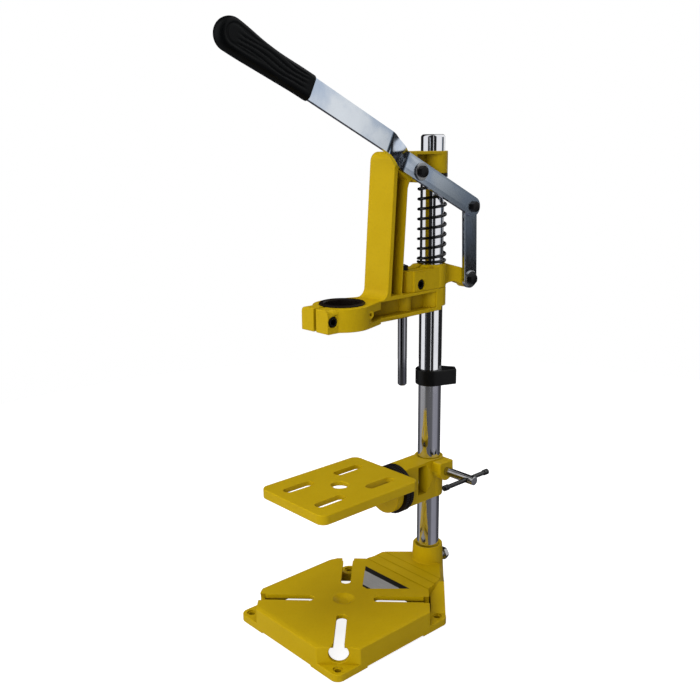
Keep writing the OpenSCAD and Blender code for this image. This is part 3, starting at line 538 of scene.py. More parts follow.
def join(target: BMesh, other: BMesh) -> None:
    """Adds one mesh to another.

    Args:
        target: the mesh that grows.
        other: the mesh that is added and freed.
    """
    mesh = bpy.data.meshes.new("joined")
    other.to_mesh(mesh)
    other.free()
    target.from_mesh(mesh)
    bpy.data.meshes.remove(mesh)


def span(node: str) -> tuple[Vector, Vector, Vector]:
    """A CAD node's low corner, high corner and centre, in metres."""
    low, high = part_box(node)
    return low, high, (low + high) / 2


def aimed(bm: BMesh, axis: Axis, at: Point, flip: bool = False) -> BMesh:
    """Lays a mesh drawn along +Z onto an axis at a point.

    Args:
        bm: the mesh.
        axis: the axis.
        at: the point in metres.
        flip: whether +Z points against the axis.

    Returns:
        The same mesh.
    """
    if flip:
        bmesh.ops.rotate(bm, verts=bm.verts, cent=(0, 0, 0), matrix=Matrix.Rotation(math.pi, 3, "X"))
    turn = Vector((0, 0, 1)).rotation_difference(Vector(axis.value)).to_matrix().to_4x4()
    bmesh.ops.transform(bm, matrix=Matrix.Translation(Vector(at)) @ turn, verts=bm.verts)
    return bm


@dataclass(frozen=True)
class Thread:
    """A metric thread's standard sizes."""

    radius: float
    across: float
    head: float
    cap_radius: float = 5.0 * MM
    cap_head: float = 6.0 * MM
    key: float = 5.0 * MM
    play: float = 0.1 * MM

    @property
    def bore(self) -> float:
        """Radius of the hole in its nut or washer."""
        return self.radius + self.play


M6 = Thread(3.0 * MM, 10.0 * MM, 4.0 * MM)
M8 = Thread(4.0 * MM, 13.0 * MM, 5.3 * MM)
M10 = Thread(5.0 * MM, 17.0 * MM, 6.4 * MM)


@dataclass(frozen=True)
class Fastener:
    """A standard fastener that fills its CAD node along one axis."""

    node: str
    name: str
    body: Body
    thread: Thread = M6
    axis: Axis = Axis.X
    flip: bool = False

    def shape(self, length: float) -> tuple[BMesh, float]:
        """Draws it along +Z; the height is its head's if its shank hangs below the origin, else 0."""
        raise NotImplementedError

    def build(self, finish: Finish) -> None:
        """Builds it in its node's place.

        Args:
            finish: its finish.
        """
        low, high, spot = span(self.node)
        along = self.axis.value.index(1.0)
        bm, head = self.shape(high[along] - low[along])
        spot[along] = low[along] + head if self.flip or not head else high[along] - head
        dress(self.name, aimed(bm, self.axis, spot, self.flip), finish, self.body, self.node)


@dataclass(frozen=True)
class HexBolt(Fastener):
    """A hex bolt with a chamfered head and a threaded shank."""

    rim_share: float = 0.93
    drop_share: float = 0.6
    root_share: float = 0.93
    tip_share: float = 0.18
    pitch_share: float = 0.5

    def shape(self, length: float) -> tuple[BMesh, float]:
        """Draws it along +Z.

        Args:
            length: its whole length.

        Returns:
            The bolt with its head over the origin, and the head's height.
        """
        radius, top, across = self.thread.radius, self.thread.head, self.thread.across
        shank, tip = length - top, radius * self.tip_share
        corner, rim = hex_corner(across), across / 2 * self.rim_share
        drop = (corner - rim) * self.drop_share
        head = turned([(0, 0), (corner, 0), (corner, top - drop), (rim, top), (0, top)])
        cut_flats(head, across)
        turns = max(4, int(shank / (radius * self.pitch_share)))
        step = (shank - tip) / turns
        profile = [(0, top * 0.3), (radius, top * 0.3)]
        for number in range(turns):
            z = -number * step
            profile += [(radius, z - step * 0.15), (radius * self.root_share, z - step * 0.5),
                        (radius, z - step * 0.85)]
        profile += [(radius, -shank + tip), (radius - tip, -shank), (0, -shank)]
        join(head, turned(profile, 32))
        return head, top


@dataclass(frozen=True)
class HexNut(Fastener):
    """A hex nut with both faces chamfered."""

    rim_share: float = 0.95
    drop_share: float = 0.55
    lip_share: float = 0.1

    def shape(self, length: float) -> tuple[BMesh, float]:
        """Draws it along +Z.

        Args:
            length: its whole length.

        Returns:
            The nut, standing on the origin, and 0.
        """
        bore, across = self.thread.bore, self.thread.across
        corner, rim, lip = hex_corner(across), across / 2 * self.rim_share, bore * self.lip_share
        drop = (corner - rim) * self.drop_share
        blank = closed_ring([(bore, lip), (bore + lip, 0), (rim, 0), (corner, drop), (corner, length - drop),
                             (rim, length), (bore + lip, length), (bore, length - lip)])
        cut_flats(blank, across)
        return blank, 0.0


@dataclass(frozen=True)
class Washer(Fastener):
    """A washer with soft edges."""

    edge_share: float = 0.22

    def shape(self, length: float) -> tuple[BMesh, float]:
        """Draws it along +Z.

        Args:
            length: its whole length.

        Returns:
            The washer, standing on the origin, and 0.
        """
        low, high, _ = span(self.node)
        radius = (high.y - low.y if self.axis is Axis.X else high.x - low.x) / 2
        bore, edge = self.thread.bore, length * self.edge_share
        return closed_ring([(bore, 0), (radius - edge, 0), (radius, edge), (radius, length - edge),
                            (radius - edge, length), (bore, length)]), 0.0


@dataclass(frozen=True)
class CapScrew(Fastener):
    """A socket head cap screw."""

    edge_share: float = 0.12
    socket_share: float = 0.97
    depth_share: float = 0.5

    def shape(self, length: float) -> tuple[BMesh, float]:
        """Draws it along +Z.

        Args:
            length: its whole length.

        Returns:
            The screw with its head over the origin, and the head's height.
        """
        radius, wide, top = self.thread.radius, self.thread.cap_radius, self.thread.cap_head
        shank, edge, mouth = length - top, wide * self.edge_share, hex_corner(self.thread.key)
        bm = turned([(mouth, top), (wide - edge, top), (wide, top - edge), (wide, 0), (radius, 0),
                     (radius, -shank + edge), (radius - edge, -shank), (0, -shank)])
        made = bmesh.ops.create_circle(bm, segments=6, radius=mouth * self.socket_share, cap_ends=False,
                                       matrix=Matrix.Translation((0, 0, top - edge)))
        bmesh.ops.bridge_loops(bm, edges=[e for e in bm.edges if e.is_boundary])
        deep = bmesh.ops.extrude_edge_only(bm, edges=open_edges(bm, made["verts"]))["geom"]
        floor = [v for v in deep if isinstance(v, Vert)]
        bmesh.ops.translate(bm, verts=floor, vec=(0, 0, -top * self.depth_share))
        bmesh.ops.contextual_create(bm, geom=[e for e in deep if isinstance(e, Edge)])
        return bm, top


@dataclass
class Fasteners:
    """Every standard bolt, nut, washer and screw of the stand."""

    kit: Finishes

    def build(self) -> None:
        """Builds and dresses the pieces."""
        bright = (
            HexBolt("column_bolt", "column_lock_bolt", Body.BASE, M8, Axis.Y),
            HexBolt("table_pivot_bolt", "tilt_bolt", Body.BRACKET, M10, Axis.Y, flip=True),
            Washer("table_pivot_washer", "tilt_washer", Body.BRACKET, M10, Axis.Y),
            HexNut("table_pivot_nut", "tilt_nut", Body.BRACKET, M10, Axis.Y),
            HexNut("head_clamp_nut", "head_nut", Body.HEAD),
            Washer("link_low_washer", "link_foot_washer", Body.HEAD),
            HexNut("link_low_nut", "link_foot_nut", Body.HEAD),
            HexNut("ring_clamp_nut", "ring_nut", Body.SLIDER),
            Washer("lever_pivot_washer", "lever_washer", Body.SLIDER),
            HexNut("lever_pivot_nut", "pivot_nut", Body.SLIDER),
            Washer("link_top_washer", "link_head_washer", Body.LEVER),
            HexNut("link_top_nut", "link_head_nut", Body.LEVER),
        )
        black = (
            CapScrew("head_clamp_screw", "head_socket_screw", Body.HEAD),
            CapScrew("ring_clamp_screw", "ring_socket_screw", Body.SLIDER),
            HexNut("guide_rod_nut", "rod_nut", Body.HEAD, axis=Axis.Z),
            HexBolt("link_low_bolt", "link_foot_bolt", Body.HEAD),
            HexBolt("lever_pivot_bolt", "lever_bolt", Body.SLIDER),
            HexBolt("link_top_bolt", "link_head_bolt", Body.LEVER),
        )
        for group, finish in ((bright, self.kit.screw), (black, self.kit.black_steel)):
            for fastener in group:
                fastener.build(finish)


@dataclass
class Rounding:
    """Rounds a casting's edges where its faces leave room, and spares what would fold over."""

    radius: float
    wall: float = 0.0
    top: float = 0.0
    segments: int = 5
    sharp: float = math.radians(20)
    room_share: float = 0.45
    rounds: int = 4
    smallest: float = 2e-8
    flat_reach: float = 0.05 * MM
    straight: float = -0.75
    spare_share: float = 1.3
    fold_angle: float = math.radians(60)
    fold_corners: int = 5

    def room(self, edge: Edge) -> float:
        """The widest rounding that the faces beside an edge can take.

        Args:
            edge: an edge between two faces.

        Returns:
            The width in metres.
        """
        start = edge.verts[0].co
        along = edge.verts[1].co - start
        length = along.length
        along.normalize()
        limit = length
        for vert in edge.verts:
            out = (edge.other_vert(vert).co - vert.co).normalized()
            for other in vert.link_edges:
                if other is edge or not any(face in edge.link_faces for face in other.link_faces):
                    continue
                side = other.other_vert(vert).co - vert.co
                slope = out.dot(side.normalized())
                if slope > self.straight:
                    limit = min(limit, self.room_share * side.length * math.sqrt(max(0.0, 1 - slope * slope)))
        for face in edge.link_faces:
            loop = next(loop for loop in face.loops if loop.edge is edge)
            run = (loop.link_loop_next.vert.co - loop.vert.co).normalized()
            inward = face.normal.cross(run)
            offsets = [vert.co - start for vert in face.verts if vert not in edge.verts]
            limit = min([limit, self.room_share * max(abs(off.dot(inward)) for off in offsets)]
                        + [self.room_share * off.dot(inward) for off in offsets
                           if off.dot(inward) > 1e-6 and 0 <= off.dot(along) <= length])
        return limit

    def chosen(self, edge: Edge, top: float) -> bool:
        """Whether this pass rounds an edge: all sharp ones, or the rim of the top over tall walls.

        Args:
            edge: the edge.
            top: the casting's highest point.

        Returns:
            Whether it is rounded.
        """
        if len(edge.link_faces) != 2 or edge.calc_face_angle(0.0) < self.sharp:
            return False
        if not self.wall:
            return True
        if min(vert.co.z for vert in edge.verts) < top - self.flat_reach:
            return False
        return max(max(v.co.z for v in face.verts) - min(v.co.z for v in face.verts)
                   for face in edge.link_faces) > self.wall

    def near(self, edge: Edge, spots: Sequence[Vector]) -> bool:
        """Whether an edge passes one of the spared spots.

        Args:
            edge: the edge.
            spots: the places to spare.

        Returns:
            Whether it does.
        """
        start = edge.verts[0].co
        along = edge.verts[1].co - start
        for spot in spots:
            share = min(max((spot - start).dot(along) / along.length_squared, 0.0), 1.0)
            if (spot - start - along * share).length < self.radius * self.spare_share:
                return True
        return False

    def folds(self, bm: BMesh, skin: BVHTree) -> list[Vector]:
        """The places where small faces turn away from the unrounded casting.

        Args:
            bm: the rounded casting.
            skin: the unrounded one's surface.

        Returns:
            The middles of those faces.
        """
        found = []
        for face in bm.faces:
            if len(face.verts) > self.fold_corners or face.calc_area() < self.smallest:
                continue
            middle = face.calc_center_median()
            _, normal, _, distance = skin.find_nearest(middle)
            if distance > self.radius / 2 or face.normal.angle(normal, 0.0) > self.fold_angle:
                found.append(middle)
        return found

    def apply(self, source: BMesh) -> BMesh:
        """Rounds the edges in a few tries, each sparing the places that folded in the one before.

        Args:
            source: the unrounded casting, which is freed.

        Returns:
            The rounded casting.
        """
        skin = BVHTree.FromBMesh(source)
        top = self.top or max(vert.co.z for vert in source.verts)
        spared: list[Vector] = []
        for number in range(self.rounds):
            bm = source.copy()
            edges = [edge for edge in bm.edges if self.chosen(edge, top) and self.room(edge) >= self.radius
                     and not self.near(edge, spared)]
            bmesh.ops.bevel(bm, geom=edges, offset=self.radius, offset_type="OFFSET", segments=self.segments,
                            profile=0.5, affect="EDGES", clamp_overlap=False, material=-1, loop_slide=True,
                            miter_outer="SHARP")
            folded = self.folds(bm, skin)
            if not folded or number == self.rounds - 1:
                break
            spared += folded
            bm.free()
        source.free()
        return bm


@dataclass
class Castings:
    """The painted castings, with the rounded edges of a casting."""

    kit: Finishes
    edge: float = 1.0 * MM
    fine_edge: float = 0.8 * MM
    base_rim: float = 3.0 * MM
    table_rim: float = 2.0 * MM
    tall: float = 8.0 * MM
    base_top: float = 26.6 * MM
    table_top: float = 157.6 * MM
    smooth_angle: float = 24.0

    def build(self) -> None:
        """Builds and dresses each casting."""
        rows = (("base_plate", "cast_base", Body.BASE, self.fine_edge),
                ("table_bracket", "table_bracket_casting", Body.BRACKET, self.edge),
                ("table_plate", "table_casting", Body.TABLE, self.edge),
                ("head_collar", "head_casting", Body.HEAD, self.fine_edge),
                ("carriage", "carriage_casting", Body.SLIDER, self.fine_edge))
        rims = {"base_plate": (self.base_rim, self.base_top), "table_plate": (self.table_rim, self.table_top)}
        for node, name, body, edge in rows:
            rounded = copied(node)
            if node in rims:
                radius, top = rims[node]
                rounded = Rounding(radius, self.tall, top).apply(rounded)
            rounded = Rounding(edge).apply(rounded)
            piece = dress(name, rounded, self.kit.paint, body, node, smooth_angle=self.smooth_angle,
                          fix_normals=False)
            shading = piece.modifiers.new("flat_faces", "WEIGHTED_NORMAL")
            shading.keep_sharp = True


@dataclass
class SmallParts:
    """The pieces that keep their CAD form and only get softer edges."""

    kit: Finishes

    def build(self) -> None:
        """Builds and dresses the pieces."""
        rows = (("label_plate", "foil_triangle", Body.BASE, self.kit.foil, 0.12 * MM, 2),
                ("table_clamp_screw", "clamp_t_screw", Body.CLAMP_SCREW, self.kit.screw, 0.6 * MM, 3),
                ("stop_collar", "stop_collar_ring", Body.STOP, self.kit.collar, 1.0 * MM, 3),
                ("stop_screw", "stop_set_screw", Body.STOP, self.kit.black_steel, 0.3 * MM, 2),
                ("link_bar", "feed_link_bar", Body.LINK, self.kit.bar, 0.45 * MM, 3))
        for node, name, body, finish, radius, segments in rows:
            soften(dress(name, copied(node), finish, body, node, fix_normals=False), radius, segments)


@dataclass
class Column:
    """The chromed column with its rounded rim."""

    kit: Finishes
    rim: float = 3.0 * MM
    rim_steps: int = 6
    seam_height: float = 100.0 * MM

    def build(self) -> None:
        """Builds and dresses the piece."""
        low, high, _ = span("column")
        radius = (high.x - low.x) / 2
        inner = radius - self.rim
        turns = [math.pi / 2 * step / self.rim_steps for step in range(self.rim_steps, -1, -1)]
        bend = [(inner + self.rim * math.sin(turn), high.z - self.rim + self.rim * math.cos(turn))
                for turn in turns]
        seam = low.z + self.seam_height
        tube = turned([(0, low.z), (radius, low.z), (radius, seam), *bend, (0, high.z)], 96)
        dress("chrome_column", tube, self.kit.chrome, Body.BASE, "column")


@dataclass
class TableSet:
    """The table's scale disc and the tommy bar of its T-screw."""

    kit: Finishes
    teeth: int = 60
    tooth_steps: int = 4
    notch: float = 0.35 * MM
    rim_share: float = 0.98
    bore: float = 5.2 * MM
    groove: float = 0.7 * MM
    groove_shares: Point = (0.42, 0.5, 0.58)
    waist: float = 2.4 * MM
    knob: float = 8.0 * MM

    def build(self) -> None:
        """Builds and dresses the pieces."""
        self.build_disc()
        self.build_tommy_bar()

    def build_disc(self) -> None:
        """The black scale disc with its divided rim."""
        low, high, mid = span("scale_disc")
        radius, depth = (high.x - low.x) / 2, high.y - low.y
        upper, floor, lower = (depth * share for share in self.groove_shares)
        inner = radius - self.groove
        steps = self.teeth * self.tooth_steps
        disc = closed_ring([(self.bore, 0), (inner, 0), (radius, self.groove), (radius, upper),
                            (inner, floor), (radius, lower), (radius, depth - self.groove),
                            (inner, depth), (self.bore, depth)], steps)
        for vert in disc.verts:
            angle = math.atan2(vert.co.y, vert.co.x)
            on_notch = round(angle / math.tau * steps) % self.tooth_steps == 0
            if on_notch and vert.co.xy.length > radius * self.rim_share:
                vert.co.xy *= 1 - self.notch / radius
        aimed(disc, Axis.Y, (mid.x, low.y, mid.z))
        dress("tilt_scale_disc", disc, self.kit.plastic, Body.BRACKET, "scale_disc", smooth_angle=20.0)

    def build_tommy_bar(self) -> None:
        """The tommy bar, turned with a grooved knob at each end."""
        low, high, mid = span("tommy_bar")
        end, length, knob = (high.x - low.x) / 2, high.y - low.y, self.knob
        half = [(0, 0), (end * 0.6, 0.2 * MM), (end, 1.2 * MM), (end, knob * 0.45), (end * 0.86, knob * 0.5),
                (end, knob * 0.55), (end, knob - 0.8 * MM), (self.waist, knob)]
        outline = half + [(radius, length - z) for radius, z in reversed(half)]
        bar = aimed(turned(outline, 32), Axis.Y, (mid.x, low.y, mid.z))
        dress("tommy_bar_turned", bar, self.kit.dark_steel, Body.TOMMY, "tommy_bar")


@dataclass
class Coil:
    """The feed spring: a coil with closed ends, drawn by stepped spins."""

    low: float
    high: float
    mean_radius: float = 14.2 * MM
    wire: float = 3.0 * MM
    turns: float = 9.7
    start: float = math.radians(224.0)
    end_gap: float = 0.4 * MM
    closed: float = 1.0
    steps: int = 32
    sides: int = 12

    def build(self) -> BMesh:
        """Builds it.

        Returns:
            The coil.
        """
        bm = bmesh.new()
        spot = Matrix.Rotation(self.start, 4, "Z") @ Matrix.Translation(
            (self.mean_radius, 0, self.low + self.wire / 2)) @ Matrix.Rotation(math.pi / 2, 4, "X")
        made = bmesh.ops.create_circle(bm, segments=self.sides, radius=self.wire / 2, cap_ends=True,
                                       matrix=spot)
        section: list = [*made["verts"], *bm.edges, *bm.faces]
        tight = self.wire + self.end_gap
        free_turns = self.turns - 2 * self.closed
        pitch = (self.high - self.low - self.wire - 2 * self.closed * tight) / free_turns
        for turns, rise in ((self.closed, tight), (free_turns, pitch), (self.closed, tight)):
            count = max(1, round(turns * self.steps))
            done = bmesh.ops.spin(bm, geom=section, cent=(0, 0, 0), axis=(0, 0, 1), angle=math.tau * turns,
                                  dvec=(0, 0, rise * turns / count), steps=count, use_merge=False)
            section = done["geom_last"]
        inner = [f for f in bm.faces if len(f.verts) == self.sides and not self.is_end(f)]
        bmesh.ops.delete(bm, geom=inner, context="FACES_ONLY")
        bmesh.ops.remove_doubles(bm, verts=bm.verts, dist=TINY)
        return bm

    def is_end(self, face: bmesh.types.BMFace) -> bool:
        """Whether a cap lies at one of the coil's ends."""
        z = face.calc_center_median().z
        return min(z - self.low, self.high - z) < self.wire * 0.51


@dataclass
class FeedSet:
    """The guide rod, the feed spring with its seat, and the reducer bush."""

    kit: Finishes
    stud: float = 6.0 * MM
    stud_radius: float = 3.0 * MM
    stud_edge: float = 0.6 * MM
    rod_chamfer: float = 1.6 * MM
    spring_low: float = 371.9 * MM
    spring_high: float = 461.7 * MM
    seat_bore: float = 12.55 * MM
    seat_edge: float = 0.5 * MM
    bush_bore: float = 17.5 * MM
    bush_neck: float = 21.45 * MM
    bush_flange: float = 1.8 * MM
    bush_edge: float = 0.6 * MM
    bush_mouth: float = 1.2 * MM

    def build(self) -> None:
        """Builds and dresses the pieces."""
        self.build_rod()
        self.build_spring()
        self.build_seat()
        self.build_bush()

    def build_rod(self) -> None:
        """The ground guide rod with its thinner stud."""
        low, high, mid = span("guide_rod")
        radius, shoulder = (high.x - low.x) / 2, high.z - self.stud
        rod = turned([(0, low.z), (radius - self.rod_chamfer, low.z), (radius, low.z + self.rod_chamfer),
                      (radius, shoulder), (self.stud_radius, shoulder),
                      (self.stud_radius, high.z - self.stud_edge),
                      (self.stud_radius - self.stud_edge, high.z), (0, high.z)], 64)
        rod = aimed(rod, Axis.Z, (mid.x, mid.y, 0))
        dress("ground_guide_rod", rod, self.kit.rod, Body.HEAD, "guide_rod")

    def build_spring(self) -> None:
        """The feed spring between head and seat."""
        coil = Coil(self.spring_low, self.spring_high).build()
        spring = dress("feed_coil_spring", coil, self.kit.spring, Body.HEAD, "feed_spring",
                       smooth_angle=60.0)
        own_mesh(spring)

    def build_seat(self) -> None:
        """The black seat over the spring."""
        low, high, _ = span("spring_seat")
        radius, edge = (high.x - low.x) / 2, self.seat_edge
        seat = closed_ring([(self.seat_bore, low.z), (radius - edge, low.z), (radius, low.z + edge),
                            (radius, high.z), (self.seat_bore, high.z)], 64)
        dress("spring_seat_ring", seat, self.kit.plastic, Body.SLIDER, "spring_seat")

    def build_bush(self) -> None:
        """The black reducer bush with its flange."""
        low, high, mid = span("reducer_bush")
        outer = (high.x - low.x) / 2
        bore, neck, lip = self.bush_bore, self.bush_neck, self.bush_edge
        flange = high.z - self.bush_flange
        bush = closed_ring([(bore, low.z + lip), (bore + lip, low.z), (neck - lip, low.z),
                            (neck, low.z + lip), (neck, flange), (outer, flange), (outer, high.z - lip),
                            (outer - lip, high.z), (bore + self.bush_mouth, high.z),
                            (bore, high.z - self.bush_mouth)], 96)
        bush = aimed(bush, Axis.Z, (mid.x, mid.y, 0))
        dress("collar_reducer", bush, self.kit.plastic, Body.SLIDER, "reducer_bush")


def smooth(value: float, low: float, high: float) -> float:
    """Rises smoothly from 0 at low to 1 at high."""
    share = min(1.0, max(0.0, (value - low) / (high - low)))
    return share * share * (3 - 2 * share)


def hump(value: float, middle: float, width: float) -> float:
    """A smooth bump of height 1 round a middle."""
    return math.exp(-((value - middle) / width) ** 2)


@dataclass
class LeverBar:
    """The bent lever bar with rounded folds and the diagonal crease of its bend."""

    kit: Finishes
    pivot: Point = (0.0, -0.041, 0.4691)
    tilt: float = math.radians(25.465)
    fold_inner: float = 26.2 * MM
    fold_outer: float = 64.9 * MM
    fold_r: float = 4.0 * MM
    joggle: float = 18.3 * MM
    bar_width: float = 20.0 * MM
    ridge: float = 3.0 * MM
    ridge_fall: float = 1.5
    cuts: int = 44
    edge: float = 0.45 * MM

    @property
    def place(self) -> Matrix:
        """Takes the bar's own frame, along -Y from its pivot, to its place at rest."""
        return Matrix.Translation(Vector(self.pivot)) @ Matrix.Rotation(-self.tilt, 4, "X")

    def crease(self, along: float, across: float) -> float:
        """How far the pressed bend shifts the bar sideways from its plain, sharp-cornered form.

        Args:
            along: distance from the pivot.
            across: distance above the bar's middle line.

        Returns:
            The shift along +X in metres.
        """
        length = self.fold_outer - self.fold_inner
        slope = self.joggle / length
        shift = 0.0
        for fold, sign in ((self.fold_inner, 1.0), (self.fold_outer, -1.0)):
            shift += sign * slope * max(0.0, self.fold_r - abs(along - fold)) ** 2 / (4 * self.fold_r)
        share = (along - self.fold_inner) / length
        if 0 < share < 1:
            diagonal = 0.5 - across / self.bar_width
            height = max(0.0, 1 - self.ridge_fall * abs(share - diagonal))
            shift += self.ridge * height * 4 * share * (1 - share)
        return shift

    def build(self) -> None:
        """Builds and dresses the bar."""
        bm = copied("lever_bar")
        bmesh.ops.transform(bm, matrix=self.place.inverted(), verts=bm.verts)
        first, last = self.fold_inner - self.fold_r, self.fold_outer + self.fold_r
        stations = [first + (last - first) * k / self.cuts for k in range(self.cuts + 1)]
        planes = [((0, -along, 0), (0, 1, 0)) for along in stations]
        planes += [((0, 0, self.bar_width * k / 8), (0, 0, 1)) for k in range(-3, 4)]
        for spot, normal in planes:
            bmesh.ops.bisect_plane(bm, geom=[*bm.verts, *bm.edges, *bm.faces], plane_co=spot, plane_no=normal,
                                   dist=TINY)
        for vert in bm.verts:
            vert.co.x += self.crease(-vert.co.y, vert.co.z)
        bmesh.ops.transform(bm, matrix=self.place, verts=bm.verts)
        bar = dress("feed_lever_bar", bm, self.kit.bar, Body.LEVER, "lever_bar", fix_normals=False)
        bevel = soften(bar, self.edge, 2, 50.0)
        bevel.use_clamp_overlap = True
        bevel.miter_outer = "MITER_SHARP"


@dataclass(frozen=True)
class GripEdge:
    """One long edge of the grip: its height, its swell to the butt, and the finger waist."""

    height: float
    swell: float
    swell_range: Pair
    waist: float
    waist_at: float
    waist_width: float

    def at(self, share: float) -> float:
        """The edge's height at a share of the grip's length."""
        return (self.height + self.swell * smooth(share, *self.swell_range)
                - self.waist * hump(share, self.waist_at, self.waist_width))


@dataclass
class Grip:
    """The moulded grip, a loft of pillow sections with a rim groove and wavy finger grooves."""

    kit: Finishes
    place: Matrix
    start: float = 171.0 * MM
    length: float = 100.9 * MM
    middle_x: float = 38.8 * MM
    top: GripEdge = GripEdge(11.4 * MM, 2.2 * MM, (0.55, 0.9), 1.2 * MM, 0.42, 0.22)
    bottom: GripEdge = GripEdge(11.6 * MM, 2.2 * MM, (0.05, 0.75), 0.4 * MM, 0.55, 0.2)
    half: float = 6.2 * MM
    half_swell: float = 1.4 * MM
    half_range: Pair = (0.1, 0.6)
    edge_reach: float = 5.0 * MM
    mouth: float = 2.0 * MM
    rim_groove: float = 0.7 * MM
    rim_inset: float = 6.0 * MM
    rim_width: float = 1.1 * MM
    rim_range: Pair = (0.5, 0.72)
    waves: Outline = ((-5.6 * MM, 0.0), (-1.4 * MM, 0.7), (2.8 * MM, 1.4), (6.6 * MM, 2.1))
    wave_start: Pair = (0.05, 0.12)
    wave_end: Pair = (0.78, 0.86)
    wave_inset: Pair = (3.0 * MM, 5.5 * MM)
    wave_swing: float = 0.9 * MM
    wave_beat: float = 12.0
    wave_depth: float = 0.75 * MM
    wave_width: float = 0.8 * MM
    rings: int = 140
    around: int = 140
    ring_crowding: float = 1.6
    last_gap: float = 0.02 * MM

    def outline(self, along: float) -> tuple[float, float]:
        """The upper and lower edge's height at a distance from the bar end."""
        share = along / self.length
        return self.top.at(share), -self.bottom.at(share)

    def inset(self, along: float, across: float) -> float:
        """How far a point of the flat side lies inside the grip's outline.

        Args:
            along: distance from the bar end.
            across: distance above the middle line.

        Returns:
            The distance in metres, below 0 outside.
        """
        upper, lower = self.outline(along)
        butt = (upper - lower) / 2
        past = along - (self.length - butt)
        if past <= 0:
            return min(upper - across, across - lower)
        return butt - math.hypot(past, across - (upper + lower) / 2)

    def thickness(self, along: float, across: float) -> float:
        """Half the grip's thickness at a point, with its grooves.

        Args:
            along: distance from the bar end.
            across: distance above the middle line.

        Returns:
            The half thickness in metres.
        """
        share = along / self.length
        inset = max(0.0, self.inset(along, across))
        edge_share = min(1.0, inset / self.edge_reach)
        half = self.half + self.half_swell * smooth(share, *self.half_range)
        half *= math.sqrt(1 - (1 - edge_share) ** 2)
        half *= math.sqrt(1 - 0.5 * (1 - min(1.0, along / self.mouth)) ** 2)
        groove = self.rim_groove * hump(inset, self.rim_inset, self.rim_width)
        groove *= smooth(share, *self.rim_range)
        lines = (middle + self.wave_swing * math.sin(share * self.wave_beat + phase)
                 for middle, phase in self.waves)
        wave = self.wave_depth * sum(hump(across, line, self.wave_width) for line in lines)
        wave *= smooth(share, *self.wave_start) * (1 - smooth(share, *self.wave_end))
        wave *= smooth(inset, *self.wave_inset)
        return max(half - max(groove, wave) * edge_share, 0.0)

    def build(self) -> None:
        """Builds and dresses the grip."""
        bm = bmesh.new()
        bmesh.ops.create_circle(bm, segments=self.around, radius=1.0, cap_ends=False)
        rows = [list(bm.verts)]
        edges = list(bm.edges)
        for _ in range(1, self.rings):
            grown = bmesh.ops.extrude_edge_only(bm, edges=edges)["geom"]
            edges = [e for e in grown if isinstance(e, Edge)]
            rows.append([v for v in grown if isinstance(v, Vert)])
        for number, row in enumerate(rows):
            left = (1 - number / (self.rings - 1)) ** self.ring_crowding
            along = min(self.length * (1 - left), self.length - self.last_gap)
            upper, lower = self.outline(along)
            middle, butt = (upper + lower) / 2, (upper - lower) / 2
            past = max(0.0, along - (self.length - butt))
            reach = math.sqrt(max(0.0, butt * butt - past * past))
            for vert in row:
                angle = math.atan2(vert.co.y, vert.co.x)
                across = middle + reach * math.sin(angle)
                side = math.copysign(self.thickness(along, across), math.cos(angle))
                vert.co = (self.middle_x + side, -self.start - along, across)
        for row in (rows[0], rows[-1]):
            bmesh.ops.contextual_create(bm, geom=open_edges(bm, row))
        bmesh.ops.transform(bm, matrix=self.place, verts=bm.verts)
        dress("moulded_grip", bm, self.kit.rubber, Body.LEVER, "lever_grip", smooth_angle=45.0)


@dataclass(frozen=True)
class Lamp:
    """A soft area lamp that is not seen in reflections."""

    name: str
    place: Point
    size: Pair
    power: float
    color: Color = (1.0, 1.0, 1.0)


